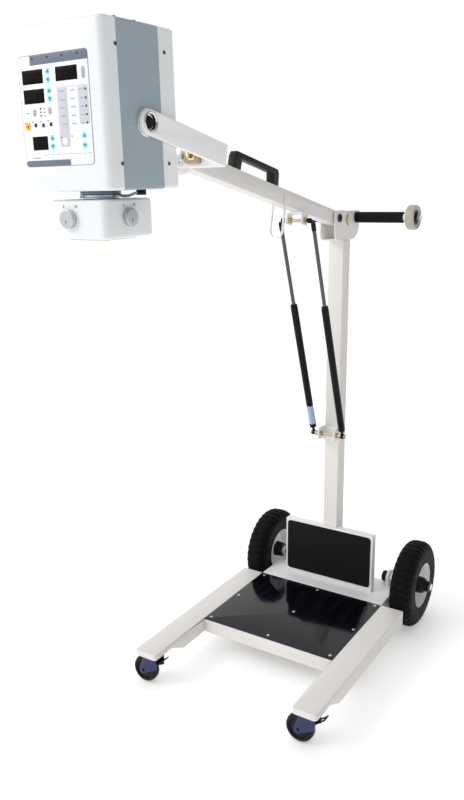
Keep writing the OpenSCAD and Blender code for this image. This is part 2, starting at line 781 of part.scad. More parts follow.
module lower_studs() {
    color([0.62, 0.58, 0.45]) at_mast() translate([0, low_y, low_stud_z]) {
        rod_x(-spring_x - eye_w / 2 - 4, spring_x + eye_w / 2 + 4, stud_r);
        for (s = [0, 1]) mirror([s, 0, 0]) {
            rod_x(low_plate_x, spring_x - eye_w / 2 - face_gap, stud_r + 3);
            rod_x(spring_x + eye_w / 2 + face_gap, spring_x + eye_w / 2 + 4, stud_r + 2);
            rod_x(low_plate_x - low_plate_t - 5, low_plate_x - low_plate_t, stud_r + 3);
        }
    }
}

// Cylinder with its eye; the rod's bore is closed off by the gland
module spring_cylinder(side) {
    color([0.04, 0.04, 0.05]) at_spring(side) difference() {
        union() {
            rotate([0, -side * spring_turn, 0]) {
                translate([0, 0, cyl_foot]) cylinder(h = cyl_l, r = cyl_r);
                cylinder(h = cyl_foot + 1, r = eye_r - 3);
            }
            rod_x(-eye_w / 2, eye_w / 2, eye_r);
        }
        rod_x(-eye_w, eye_w, stud_r + run_fit);
        rotate([0, -side * spring_turn, 0]) translate([0, 0, cyl_foot + 8]) {
            cylinder(h = cyl_l - 8 - gland_l, r = cyl_r - cyl_wall);
            cylinder(h = cyl_l, r = rod_r + run_fit);
        }
    }
}
module left_spring_cylinder() { spring_cylinder(-1); }
module right_spring_cylinder() { spring_cylinder(1); }

// Rod with its piston and its angled end socket beside the upper stud
module spring_rod(side) {
    piston_z = cyl_foot + cyl_l - 190;
    color([0.45, 0.46, 0.47]) at_spring(side) rotate([0, -side * spring_turn, 0]) {
        translate([0, 0, piston_z]) cylinder(h = spring_l - socket_l - piston_z + 1, r = rod_r);
        translate([0, 0, piston_z]) cylinder(h = 10, r = cyl_r - cyl_wall - 0.3);
        translate([0, 0, spring_l - socket_l]) cylinder(h = socket_l, r = socket_r - 0.5);
        translate([0, 0, spring_l]) rod_x(-socket_half, socket_half, socket_r);
    }
}
module left_spring_rod() { spring_rod(-1); }
module right_spring_rod() { spring_rod(1); }

// ---- arm, drawn along local -Y from the pivot ----
module arm_tube() {
    color([0.84, 0.83, 0.82]) at_arm() difference() {
        union() {
            box([-arm_w / 2, -arm_nose, -arm_h / 2], [arm_w / 2, arm_tail, arm_h / 2]);
            rod_x(-cheek_in + face_gap, cheek_in - face_gap, pivot_boss_r);
            rod_y(-arm_nose - flange_t, -arm_nose, flange_r);
        }
        box([-arm_w / 2 + arm_wall, -arm_nose + arm_wall, -arm_h / 2 + arm_wall],
            [arm_w / 2 - arm_wall, -pivot_boss_r - 4, arm_h / 2 - arm_wall]);
        rod_x(-cheek_x, cheek_x, pivot_r + run_fit);
        rod_y(-arm_nose - flange_t - 1, -arm_nose + arm_wall + 1, swivel_r + run_fit);
    }
}

// Bow handle standing on the top of the arm
module arm_handle() {
    z0 = arm_h / 2;
    color([0.06, 0.06, 0.07]) at_arm() slab_x(-handle_w / 2, handle_w / 2) difference() {
        polygon([[-handle_from - handle_l, z0], [-handle_from - handle_l + 2, z0 + handle_h - 10],
                 [-handle_from - handle_l + 8, z0 + handle_h], [-handle_from - 8, z0 + handle_h],
                 [-handle_from - 2, z0 + handle_h - 10], [-handle_from, z0]]);
        polygon([[-handle_from - handle_l + handle_post - 4, z0 - 1],
                 [-handle_from - handle_l + handle_post, z0 + handle_h - handle_bar],
                 [-handle_from - handle_post, z0 + handle_h - handle_bar],
                 [-handle_from - handle_post + 4, z0 - 1]]);
    }
}

// U strap under the arm that cables are hung on
module cable_hook() {
    x_in = arm_w / 2 + seat_gap;
    x_out = x_in + hook_t;
    z_low = -arm_h / 2 - hook_drop;
    color([0.93, 0.93, 0.93]) at_arm() {
        for (x0 = [-x_out, x_in])
            box([x0, -hook_at - hook_w / 2, z_low + x_out], [x0 + hook_t, -hook_at + hook_w / 2, hook_up]);
        intersection() {
            translate([0, -hook_at, z_low + x_out]) difference() {
                rod_y(-hook_w / 2, hook_w / 2, x_out);
                rod_y(-hook_w, hook_w, x_in);
            }
            box([-x_out, -hook_at - hook_w, z_low], [x_out, -hook_at + hook_w, z_low + x_out]);
        }
    }
}

module upper_bracket() {
    z0 = -arm_h / 2;
    color([0.92, 0.91, 0.88]) at_arm() difference() {
        union() {
            box([-up_plate_x, -stud_along - up_plate_d / 2, z0 - up_plate_t],
                [up_plate_x, -stud_along + up_plate_d / 2, z0]);
            for (x0 = [-up_plate_x, up_plate_x - up_plate_t])
                box([x0, -stud_along - up_plate_d / 2, -stud_below - 11],
                    [x0 + up_plate_t, -stud_along + up_plate_d / 2, z0]);
        }
        translate([0, -stud_along, -stud_below]) rod_x(-up_plate_x - 1, up_plate_x + 1, stud_r + seat_gap);
    }
}

module upper_studs() {
    color([0.55, 0.50, 0.36]) at_arm() translate([0, -stud_along, -stud_below]) {
        rod_x(-stud_end, stud_end, stud_r);
        for (s = [0, 1]) mirror([s, 0, 0]) {
            rod_x(up_plate_x, up_plate_x + 5, stud_r + 3);
            rod_x(up_plate_x - up_plate_t - 6, up_plate_x - up_plate_t, stud_r + 4);
        }
    }
}

// ---- fork ----
module fork_frame() {
    bar_y0 = -arm_l + fork_l;
    color([0.95, 0.95, 0.95]) at_arm() difference() {
        union() {
            box([-tine_out, bar_y0 - fork_t, -fork_h / 2], [tine_out, bar_y0, fork_h / 2]);
            for (x0 = [-tine_out, tine_in]) {
                box([x0, -arm_l, -fork_h / 2], [x0 + fork_t, bar_y0, fork_h / 2]);
                translate([0, -arm_l, 0]) rod_x(x0, x0 + fork_t, fork_h / 2);
            }
        }
        translate([0, -arm_l, 0]) rod_x(-tine_out - 1, tine_out + 1, trunnion_r + run_fit);
        rod_y(bar_y0 - fork_t - 1, bar_y0 + 1, swivel_r + seat_gap);
    }
}

// Swivel bolt in the arm end; its head holds the fork, which turns with it
module swivel_bolt() {
    bar_y0 = -arm_l + fork_l;
    nut_y = -arm_nose + arm_wall + face_gap;
    color([0.78, 0.79, 0.80]) at_arm() {
        rod_y(bar_y0 - fork_t, nut_y + swivel_nut_l, swivel_r);
        rod_y(nut_y, nut_y + swivel_nut_l, swivel_nut_r);
        rod_y(bar_y0 - fork_t - 4, bar_y0 - fork_t, swivel_head_r + 3);
        rod_y(bar_y0 - fork_t - swivel_head_t, bar_y0 - fork_t - 4, swivel_head_r);
    }
}

// Brass block beside the swivel bolt that takes the swivel lock
module lock_block() {
    y1 = -arm_l + fork_l - fork_t;
    color([0.62, 0.54, 0.40]) at_arm() difference() {
        box([swivel_head_r + 8, y1 - 14, -15], [swivel_head_r + 40, y1, 9]);
        translate([swivel_head_r + 24, 0, -3]) rod_y(y1 - 15, y1 - 8, 4);
    }
}

// ---- head, drawn about the trunnion axis ----
// Plan outline of the whole head with its upright edges rounded, pulled in by a wall
module head_plan(wall) {
    translate([0, (head_rear_d - head_front_d) / 2])
        round_rect(head_w - 2 * wall, head_front_d + head_rear_d - 2 * wall, head_edge_r - wall);
}

// Part of the hollow head between two depths, closed at the top and the bottom
module head_part(y0, y1, cut0, cut1) {
    difference() {
        intersection() {
            translate([0, 0, -head_down]) linear_extrude(height = head_up + head_down) head_plan(0);
            box([-head_w, y0, -head_w], [head_w, y1, head_w]);
        }
        intersection() {
            translate([0, 0, -head_down + head_wall])
                linear_extrude(height = head_up + head_down - 2 * head_wall) head_plan(head_wall);
            box([-head_w, cut0, -head_w], [head_w, cut1, head_w]);
        }
    }
}

module head_band() {
    color([0.52, 0.60, 0.65]) at_head() difference() {
        head_part(band_front, band_rear, band_front - 1, band_rear + 1);
        translate([0, -beam_fwd, -head_down - 1]) cylinder(h = head_wall + 2, r = beam_r);
        rod_x(-head_w, head_w, trunnion_r + seat_gap);
    }
}
module front_cover() {
    color([0.94, 0.95, 0.95]) at_head()
        head_part(-head_front_d, band_front - seat_gap, -head_front_d, band_front);
}
module rear_cover() {
    color([0.94, 0.95, 0.95]) at_head()
        head_part(band_rear + seat_gap, head_rear_d, band_rear, head_rear_d);
}

module control_panel() {
    color([0.92, 0.94, 0.95]) at_head() translate([panel_x, -head_front_d, panel_z])
        rotate([90, 0, 0]) linear_extrude(height = panel_t) round_rect(panel_w, panel_h, panel_round);
}

// Oil-filled tank with the x-ray tube and transformer, on the beam port
module tube_tank() {
    color([0.70, 0.71, 0.72]) at_head() difference() {
        union() {
            box([-tank_x, tank_front, tank_bottom], [tank_x, tank_rear, tank_top]);
            translate([0, -beam_fwd, -head_down + head_wall])
                cylinder(h = tank_bottom + head_down, r = beam_r + 4);
        }
        box([-tank_x + tank_wall, tank_front + tank_wall, tank_bottom + tank_wall],
            [tank_x - tank_wall, tank_rear - tank_wall, tank_top - tank_wall]);
        translate([0, -beam_fwd, -head_down]) cylinder(h = 30, r = port_r);
    }
}

// Glass x-ray tube along the tank: bulb with two necks, held by two end posts
module x_ray_tube() {
    reach = tank_x - tank_wall;
    color([0.75, 0.80, 0.82]) at_head() translate([0, -beam_fwd, tube_z]) {
        rod_x(-26, 26, 21);
        rod_x(-55, 55, 14);
        rod_x(-reach, -50, 9);
        rod_x(50, reach, 9);
    }
}

// Trunnion on each side: inner flange, pin through the tine, outer ring
module trunnion_hubs() {
    color([0.72, 0.74, 0.76]) at_head() for (s = [0, 1]) mirror([s, 0, 0]) difference() {
        union() {
            rod_x(head_x - head_wall - 4, head_x, trunnion_r);
            rod_x(head_x, head_x + hub_plate_t, hub_plate_r);
            rod_x(head_x, tine_out + face_gap + ring_t, trunnion_r);
            rod_x(tine_out + face_gap, tine_out + face_gap + ring_t, ring_r);
        }
        rod_x(tine_out - 8, tine_out + 10, trunnion_r - 3.5);
    }
}

// Small screws on the cover sides and on the top of the band
module case_screws() {
    color([0.12, 0.12, 0.12]) at_head() {
        for (s = [0, 1]) mirror([s, 0, 0]) for (y = [band_front - 4, band_rear + 15], z = [114, -66])
            translate([0, y, z]) rod_x(head_x, head_x + case_screw_h, case_screw_r);
        for (y = [band_front + 12, 0]) translate([head_x - 14, y, head_up]) cylinder(h = 3, r = 3.5);
    }
}

// ---- collimator, drawn about the beam axis ----
module turntable() {
    lip_z = col_top - col_wall - face_gap - turn_lip_t;
    color([0.30, 0.32, 0.35]) at_beam() difference() {
        union() {
            translate([0, 0, turn_top - turn_h / 2]) cylinder(h = turn_h / 2, r = turn_r);
            translate([0, 0, turn_bottom]) cylinder(h = turn_h / 2 + 1, r = turn_r - 3);
            translate([0, 0, lip_z]) cylinder(h = turn_bottom - lip_z + 1, r = turn_neck_r);
            translate([0, 0, lip_z]) cylinder(h = turn_lip_t, r = turn_lip_r);
        }
        translate([0, 0, lip_z - 1]) cylinder(h = turn_top - lip_z + 2, r = turn_bore_r);
    }
}

// Swept tube along the lead's points, eight sides
function unit(v) = v / norm(v);
function lead_dir(i) = unit(lead_pts[min(i + 1, len(lead_pts) - 1)] - lead_pts[max(i - 1, 0)]);
function lead_side(i) = unit(cross(lead_dir(i), [0.4, -0.9, 0.1]));
function lead_ring(i) = [for (k = [0:7]) lead_pts[i]
    + lead_r * (cos(45 * k) * lead_side(i) + sin(45 * k) * cross(lead_dir(i), lead_side(i)))];

module collimator_lead() {
    last = len(lead_pts) - 1;
    color([0.55, 0.55, 0.52]) at_head() polyhedron(
        points = [for (i = [0:last]) each lead_ring(i)],
        faces = concat([[for (k = [0:7]) k]], [[for (k = [7:-1:0]) last * 8 + k]],
            [for (i = [0:last - 1], k = [0:7]) [i * 8 + k, (i + 1) * 8 + k,
                (i + 1) * 8 + (k + 1) % 8, i * 8 + (k + 1) % 8]]));
    color([0.05, 0.05, 0.05]) at_head()
        box([plug_x, plug_y, turn_top - 9], [plug_x + 16, plug_y + 10, turn_top]);
}

module collimator_body() {
    color([0.95, 0.95, 0.95]) at_beam() difference() {
        translate([0, 0, col_bottom]) linear_extrude(height = col_h) round_rect(col_w, col_d, col_edge_r);
        translate([0, 0, col_bottom + col_wall]) linear_extrude(height = col_h - 2 * col_wall)
            round_rect(col_w - 2 * col_wall, col_d - 2 * col_wall, col_edge_r - col_wall);
        translate([0, 0, col_top - col_wall - 1]) cylinder(h = col_wall + 2, r = turn_neck_r + run_fit);
        translate([0, 0, col_bottom]) cube([window_w, window_w, 3 * col_wall], center = true);
        translate([knob_x, 0, knob_z]) rod_y(-col_d / 2 - 1, -col_d / 2 + col_wall + 1, knob_pin_r + run_fit);
        translate([0, -side_knob_fwd, knob_z])
            rod_x(col_w / 2 - col_wall - 1, col_w / 2 + 1, knob_pin_r + run_fit);
    }
}

module collimator_window() {
    w = window_w - 2 * seat_gap;
    color([0.80, 0.62, 0.40]) at_beam() translate([0, 0, col_bottom + col_wall - window_t / 2])
        cube([w, w, window_t], center = true);
}

module knob() {
    rod_y(-knob_d - face_gap, -face_gap, knob_r);
    rod_y(-face_gap - 1, col_wall + 6, knob_pin_r);
    rod_y(col_wall + face_gap, col_wall + 4, knob_pin_r + 3);
    translate([0, -knob_d - face_gap, 0]) box([-1.5, -2, 2], [1.5, 1, knob_r - 2]);
}
module front_knob() { color([0.80, 0.81, 0.82]) at_beam() translate([knob_x, -col_d / 2, knob_z]) knob(); }
module side_knob() {
    color([0.80, 0.81, 0.82]) at_beam() translate([col_w / 2, -side_knob_fwd, knob_z])
        rotate([0, 0, 90]) knob();
}

// Lead blades: the upper pair opens along X, the lower pair along Y
module blade(turn, z) {
    color([0.45, 0.46, 0.48]) at_beam() rotate([0, 0, turn])
        box([blade_gap / 2, -blade_w / 2, z], [blade_gap / 2 + blade_l, blade_w / 2, z + blade_t]);
}
module blade_left() { blade(180, blade_upper); }
module blade_right() { blade(0, blade_upper); }
module blade_front() { blade(270, blade_lower); }
module blade_rear() { blade(90, blade_lower); }

left_leg();
right_leg();
front_crossbeam();
rear_deck();
foot_plate();
plate_screws();
mast_shroud();
shroud_pad();
mast();
stub_axles();
axle_nuts();
mast_head();
pivot_bolt();
handlebar();
left_grip();
right_grip();
lower_bracket();
lower_studs();
left_tyre();
left_rim();
right_tyre();
right_rim();
left_caster_fork();
left_caster_wheel();
left_caster_pedal();
right_caster_fork();
right_caster_wheel();
right_caster_pedal();
bar_wheel_tyre();
bar_wheel_hub();
arm_tube();
arm_handle();
cable_hook();
upper_bracket();
upper_studs();
left_spring_cylinder();
right_spring_cylinder();
left_spring_rod();
right_spring_rod();
fork_frame();
swivel_bolt();
lock_block();
head_band();
front_cover();
rear_cover();
control_panel();
tube_tank();
x_ray_tube();
trunnion_hubs();
case_screws();
turntable();
collimator_lead();
collimator_body();
collimator_window();
front_knob();
side_knob();
blade_left();
blade_right();
blade_front();
blade_rear();
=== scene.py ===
import json
import math

import bmesh
import bpy
import numpy as np
from mathutils import Matrix

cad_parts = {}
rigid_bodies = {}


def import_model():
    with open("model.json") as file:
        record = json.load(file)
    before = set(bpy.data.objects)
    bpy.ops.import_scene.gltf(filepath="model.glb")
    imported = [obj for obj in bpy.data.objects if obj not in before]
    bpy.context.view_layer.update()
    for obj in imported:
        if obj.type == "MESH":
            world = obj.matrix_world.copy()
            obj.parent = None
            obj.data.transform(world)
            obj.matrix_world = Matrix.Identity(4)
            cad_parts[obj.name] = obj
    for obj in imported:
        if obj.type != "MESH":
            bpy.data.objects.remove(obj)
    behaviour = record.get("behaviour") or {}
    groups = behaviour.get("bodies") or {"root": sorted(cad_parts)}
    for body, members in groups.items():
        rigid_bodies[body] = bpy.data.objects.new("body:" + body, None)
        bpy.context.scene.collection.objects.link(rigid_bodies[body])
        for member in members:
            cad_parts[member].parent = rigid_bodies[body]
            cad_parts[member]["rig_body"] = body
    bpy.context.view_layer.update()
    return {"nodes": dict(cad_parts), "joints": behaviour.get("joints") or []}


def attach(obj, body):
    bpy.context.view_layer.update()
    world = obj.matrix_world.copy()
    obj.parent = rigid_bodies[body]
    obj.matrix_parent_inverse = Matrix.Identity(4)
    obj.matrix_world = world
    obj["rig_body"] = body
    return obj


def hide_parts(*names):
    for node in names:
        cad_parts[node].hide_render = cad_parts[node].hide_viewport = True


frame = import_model()
nodes = frame["nodes"]
joint = {j["name"]: j for j in frame["joints"]}

# ---- Room ------------------------------------------------------------------------
# An even white surround that dims towards the right, and one soft lamp at the upper
# left front, as in a product studio. The camera stands at the front right.
axle_behind = 0.054
column = np.array([0.0, joint["left_wheel_spin"]["pos_m"][1] - axle_behind, 0.0])
camera_place = np.array([0.961, -2.0774, 1.274])
turn, dip, roll = math.radians(32.6), math.radians(14.45), math.radians(0.62)
sight = np.array([-math.sin(turn) * math.cos(dip), math.cos(turn) * math.cos(dip), -math.sin(dip)])
side = np.array([math.cos(turn), math.sin(turn), 0.0])
below = np.cross(sight, side)
side, below = (side * math.cos(roll) + below * math.sin(roll),
               below * math.cos(roll) - side * math.sin(roll))
camera_data = bpy.data.cameras.new("camera")
camera_data.lens = 35.35
camera_data.sensor_width = 36.0
camera = bpy.data.objects.new("camera", camera_data)
bpy.context.scene.collection.objects.link(camera)
basis = np.eye(4)
basis[:3, 0], basis[:3, 1], basis[:3, 2] = side, -below, -sight
basis[:3, 3] = column + camera_place
camera.matrix_world = Matrix(basis.tolist())
bpy.context.scene.camera = camera
bpy.context.scene.view_settings.view_transform = "Standard"

world = bpy.data.worlds.new("studio")
bpy.context.scene.world = world
world.use_nodes = True
sky = world.node_tree
gaze = sky.nodes.new("ShaderNodeTexCoord")
parts = sky.nodes.new("ShaderNodeSeparateXYZ")
fall = sky.nodes.new("ShaderNodeMapRange")
fall.interpolation_type = "SMOOTHSTEP"
for slot, value in enumerate((-0.15, 0.75, 1.0, 0.30), 1):
    fall.inputs[slot].default_value = value
sky.links.new(gaze.outputs["Generated"], parts.inputs[0])
sky.links.new(parts.outputs["X"], fall.inputs[0])
sky.links.new(fall.outputs[0], sky.nodes["Background"].inputs["Strength"])
sky.nodes["Background"].inputs["Color"].default_value = (1.0, 1.0, 1.0, 1.0)


def lamp(name, place, target, size, power):
    """A square area light of that size at place, turned to face target."""
    data = bpy.data.lights.new(name, "AREA")
    data.size, data.energy = size, power
    made = bpy.data.objects.new(name, data)
    bpy.context.scene.collection.objects.link(made)
    back = np.array(place) - np.array(target)
    back = back / np.linalg.norm(back)
    right = np.cross([0.0, 0.0, 1.0], back)
    right = right / np.linalg.norm(right)
    pose = np.eye(4)
    pose[:3, 0], pose[:3, 1], pose[:3, 2], pose[:3, 3] = right, np.cross(back, right), back, place
    made.matrix_world = Matrix(pose.tolist())


lamp("key", (-2.4, -2.6, 3.2), (0.0, 0.1, 0.6), 1.6, 42.0)


# ---- Base: legs, crossbeam and rear deck -------------------------------------------
# Rectangular steel tube legs with thin noses over the casters and a folded front beam,
# powder coated in a warm white, and a folded tray behind in a cooler one.
class Value:
    """A shader socket. Arithmetic on it adds Math nodes to its material."""

    def __init__(self, finish, socket):
        self.finish, self.socket = finish, socket

    def math(self, operation, *values):
        """The result of that operation on those values."""
        return self.finish.node("ShaderNodeMath", {"operation": operation}, values)

    def __add__(self, other):
        return self.math("ADD", self, other)

    def __radd__(self, other):
        return self.math("ADD", other, self)

    def __sub__(self, other):
        return self.math("SUBTRACT", self, other)

    def __rsub__(self, other):
        return self.math("SUBTRACT", other, self)

    def __mul__(self, other):
        return self.math("MULTIPLY", self, other)

    def __rmul__(self, other):
        return self.math("MULTIPLY", other, self)

    def __truediv__(self, other):
        return self.math("DIVIDE", self, other)


class Finish:
    """A procedural material: one shader and the nodes that feed it."""

    def __init__(self, name, colour, roughness=0.5, metallic=0.0, **sockets):
        self.material = bpy.data.materials.new(name)
        self.material.use_nodes = True
        self.tree = self.material.node_tree
        self.shader = self.tree.nodes["Principled BSDF"]
        self.colour, self.roughness = colour, roughness
        fixed = {"Base Color": (*colour, 1.0), "Roughness": roughness, "Metallic": metallic, **sockets}
        for socket, value in fixed.items():
            self.shader.inputs[socket].default_value = value
        self.place = self.node("ShaderNodeTexCoord", output="Object")

    def node(self, kind, settings=None, inputs=(), output=0):
        """One node of that kind: its settings first, then the values or links of its sockets."""
        made = self.tree.nodes.new(kind)
        for key, value in (settings or {}).items():
            setattr(made, key, value)
        for key, value in inputs.items() if isinstance(inputs, dict) else enumerate(inputs):
            if isinstance(value, Value):
                self.tree.links.new(value.socket, made.inputs[key])
            else:
                made.inputs[key].default_value = value
        return Value(self, made.outputs[output])

    def feed(self, socket, value):
        """Links value to that socket of the shader."""
        self.tree.links.new(value.socket, self.shader.inputs[socket])

    def noise(self, scale, detail=2.0, stretch=(1.0, 1.0, 1.0)):
        """Noise from 0 to 1 with that many cells to a metre."""
        place = self.node("ShaderNodeMapping", {}, {"Vector": self.place, "Scale": stretch})
        return self.node("ShaderNodeTexNoise", {}, {"Vector": place, "Scale": scale, "Detail": detail})

    def step(self, value, low, high):
        """A smooth step from 0 at low to 1 at high."""
        return self.node("ShaderNodeMapRange", {"interpolation_type": "SMOOTHSTEP"},
                         {0: value, 1: low, 2: high, 3: 0.0, 4: 1.0})

    def blend(self, factor, first, second):
        """The first colour where factor is 0 and the second where it is 1."""
        ends = [c if isinstance(c, Value) else (*c, 1.0) for c in (first, second)]
        return self.node("ShaderNodeMix", {"data_type": "RGBA"}, {0: factor, 6: ends[0], 7: ends[1]}, 2)

    def tone(self, factor, spread=0.06):
        """The finish's own colour, darker by spread where factor is 0 and lighter where it is 1."""
        low, high = (tuple(min(1.0, c * k) for c in self.colour) for k in (1 - spread, 1 + spread))
        return self.blend(factor, low, high)

    def bump(self, height, depth, strength=1.0):
        """A bump of that depth in metres where height is 1."""
        self.feed("Normal", self.node("ShaderNodeBump", {}, {"Strength": strength, "Distance": depth,
                                                             "Height": height}))


def powder(name, colour, roughness=0.45):
    """Powder coat: orange peel in the height, faint clouds in the colour and the gloss."""
    coat = Finish(name, colour, roughness)
    cloud = coat.noise(7.0, 3.0)
    coat.feed("Base Color", coat.tone(cloud, 0.025))
    coat.feed("Roughness", roughness - 0.06 + cloud * 0.12)
    coat.bump(coat.noise(520.0, 2.0), 0.00012, 0.5)
    return coat.material


warm_paint = powder("warm_powder_coat", (0.80, 0.775, 0.74))
white_paint = powder("white_powder_coat", (0.86, 0.865, 0.86), 0.38)


def dress(material, width, *names, segments=2):
    """Copies of CAD nodes, doubles merged and edges rounded to width, which stand for them."""
    for name in names:
        build = bmesh.new()
        build.from_mesh(nodes[name].data)
        bmesh.ops.remove_doubles(build, verts=build.verts, dist=1e-6)
        bmesh.ops.dissolve_limit(build, angle_limit=math.radians(0.5), verts=build.verts, edges=build.edges)
        mesh = bpy.data.meshes.new(name + "_shape")
        build.to_mesh(mesh)
        build.free()
        mesh.polygons.foreach_set("use_smooth", np.ones(len(mesh.polygons), bool))
        mesh.materials.clear()
        mesh.materials.append(material)
        made = bpy.data.objects.new(name + "_shape", mesh)
        bpy.context.scene.collection.objects.link(made)
        edge = made.modifiers.new("edges", "BEVEL")
        edge.width, edge.segments, edge.limit_method = width, segments, "ANGLE"
        edge.angle_limit, edge.use_clamp_overlap, edge.harden_normals = math.radians(32), False, True
        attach(made, nodes[name]["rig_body"])
        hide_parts(name)


dress(warm_paint, 0.0025, "left_leg", "right_leg", segments=3)
dress(warm_paint, 0.0020, "front_crossbeam")
dress(white_paint, 0.0015, "rear_deck")

# ---- Foot plate ---------------------------------------------------------------------
# Black high-gloss laminate over a steel sheet, flush with the legs and held by nine
# screws; faint long brush marks show under the gloss.
def patch(grid, around=True, along=False, ends=False):
    """A grid of points as quads. around joins the last column to the first, along the last row to the
    first, and ends closes the first and the last row with a fan to its middle."""
    rows, columns = grid.shape[:2]
    index = np.arange(rows * columns).reshape(rows, columns)
    near, far = (index, np.roll(index, -1, 1)) if around else (index[:, :-1], index[:, 1:])
    low = (near, far) if along else (near[:-1], far[:-1])
    high = (np.roll(near, -1, 0), np.roll(far, -1, 0)) if along else (near[1:], far[1:])
    faces = np.stack([low[0], low[1], high[1], high[0]], -1).reshape(-1, 4).tolist()
    points = grid.reshape(-1, 3)
    if ends:
        for row in (0, rows - 1):
            ring = index[row]
            middle = np.full(columns, len(points))
            points = np.vstack([points, grid[row].mean(0)])
            faces += np.stack([ring, np.roll(ring, -1), middle], -1).tolist()
    return points, faces


def shape(name, material, body, slot, *patches, stands_for=(), sharp=34.0):
    """One piece made of patches: doubles merged, faces turned outwards, creases kept."""
    build = bmesh.new()
    for points, faces in patches:
        part = bpy.data.meshes.new("part")
        part.from_pydata(points, [], faces)
        build.from_mesh(part)
        bpy.data.meshes.remove(part)
    bmesh.ops.remove_doubles(build, verts=build.verts, dist=2e-6)
    bmesh.ops.recalc_face_normals(build, faces=build.faces)
    mesh = bpy.data.meshes.new(name)
    build.to_mesh(mesh)
    build.free()
    mesh.polygons.foreach_set("use_smooth", np.ones(len(mesh.polygons), bool))
    mesh.set_sharp_from_angle(angle=math.radians(sharp))
    mesh.materials.append(material)
    made = bpy.data.objects.new(name, mesh)
    bpy.context.scene.collection.objects.link(made)
    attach(made, body)
    if stands_for:
        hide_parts(*stands_for)
    return made


class Place:
    """An origin in metres and three directions: carries millimetres of a piece's own frame to the room."""

    def __init__(self, origin, x=(1.0, 0.0, 0.0), z=(0.0, 0.0, 1.0)):
        self.origin = np.array(origin, float)
        z = np.array(z, float) / np.linalg.norm(z)
        y = np.cross(z, np.array(x, float))
        y = y / np.linalg.norm(y)
        self.axes = np.stack([np.cross(y, z), y, z])

    def __call__(self, points):
        return self.origin + np.asarray(points, float) @ self.axes * 0.001

    def at(self, x, y, z):
        """The same directions about another origin, given in this frame's millimetres."""
        moved = Place(self((x, y, z)))
        moved.axes = self.axes
        return moved


def outline(width, height, radius, steps=5):
    """Rounded rectangle: quarter circles of that radius about its four corner centres."""
    t = np.linspace(0.0, math.pi / 2, steps + 1)[None, :] + np.arange(4)[:, None] * math.pi / 2
    middle = np.array([[1, 1], [-1, 1], [-1, -1], [1, -1]]) * [width / 2 - radius, height / 2 - radius]
    return (middle[:, None, :] + radius * np.stack([np.cos(t), np.sin(t)], -1)).reshape(-1, 2)


def slab(width, height, radius, depth, edge, steps=5):
    """Rounded plate from 0 to depth: its outline is drawn in by edge (1 - sin t) where it has risen
    edge (1 - cos t), at both faces."""
    t = np.linspace(0.0, math.pi / 2, 4)
    inset = np.concatenate([edge * (1 - np.sin(t)), edge * (1 - np.sin(t[::-1]))])
    rise = np.concatenate([edge * (1 - np.cos(t)), depth - edge * (1 - np.cos(t[::-1]))])
    rings = np.array([outline(width - 2 * i, height - 2 * i, max(radius - i, 0.05), steps) for i in inset])
    return np.concatenate([rings, np.broadcast_to(rise[:, None, None], (*rings.shape[:2], 1))], -1)


def steel(name, colour, roughness, brushed=(1.0, 1.0, 1.0)):
    """Bare or plated steel: drawn or brushed streaks in the gloss, with a faint haze."""
    bare = Finish(name, colour, roughness, 1.0)
    streak = bare.noise(900.0, 2.0, brushed)
    haze = bare.noise(40.0, 2.0)
    bare.feed("Base Color", bare.tone(haze, 0.05))
    bare.feed("Roughness", roughness * 0.8 + streak * (roughness * 0.25) + haze * (roughness * 0.15))
    bare.bump(streak, 0.00002, 0.5)
    return bare.material


def coat(material, *names):
    """Gives CAD nodes whose shape is right that material."""
    for name in names:
        nodes[name].data.materials.clear()
        nodes[name].data.materials.append(material)


stand = Place(column)
gloss = Finish("gloss_black_laminate", (0.004, 0.0045, 0.009), 0.10,
               **{"Coat Weight": 0.1, "Coat Roughness": 0.05, "Specular IOR Level": 0.25})
grain = gloss.noise(9.0, 4.0, (9.0, 1.0, 1.0))
gloss.feed("Base Color", gloss.blend(gloss.step(grain, 0.45, 0.75), (0.0015, 0.0015, 0.003),
                                     (0.006, 0.007, 0.018)))
gloss.feed("Roughness", 0.07 + gloss.noise(60.0, 3.0) * 0.08)

plate_middle, plate_top, plate_thick, rib_deep = -254, 109, 3.0, 8.0
plate = slab(402.6, 330, 1.0, plate_thick, 0.5)
rib = slab(346, 30, 0.5, rib_deep, 0.3)
under = plate_top - plate_thick
shape("foot_plate_shape", gloss.material, "base", "plate_black",
      patch(stand.at(0, plate_middle, under)(plate), ends=True),
      patch(stand.at(0, plate_middle, under - rib_deep)(rib), ends=True), stands_for=["foot_plate"])
zinc = steel("zinc_plate", (0.55, 0.56, 0.58), 0.30)
coat(zinc, "plate_screws")

# ---- Mast shroud --------------------------------------------------------------------
# A folded white cover over the foot of the mast, with a matt black sheet on its front
# that keeps shoes from marking it.
dress(white_paint, 0.0012, "mast_shroud")
pad = Finish("matt_black_sheet", (0.004, 0.0045, 0.005), 0.62, **{"Specular IOR Level": 0.15})
pad.feed("Roughness", 0.55 + pad.noise(45.0, 3.0) * 0.15)
pad.bump(pad.noise(900.0, 1.0), 0.0003, 0.7)
dress(pad.material, 0.0006, "shroud_pad")

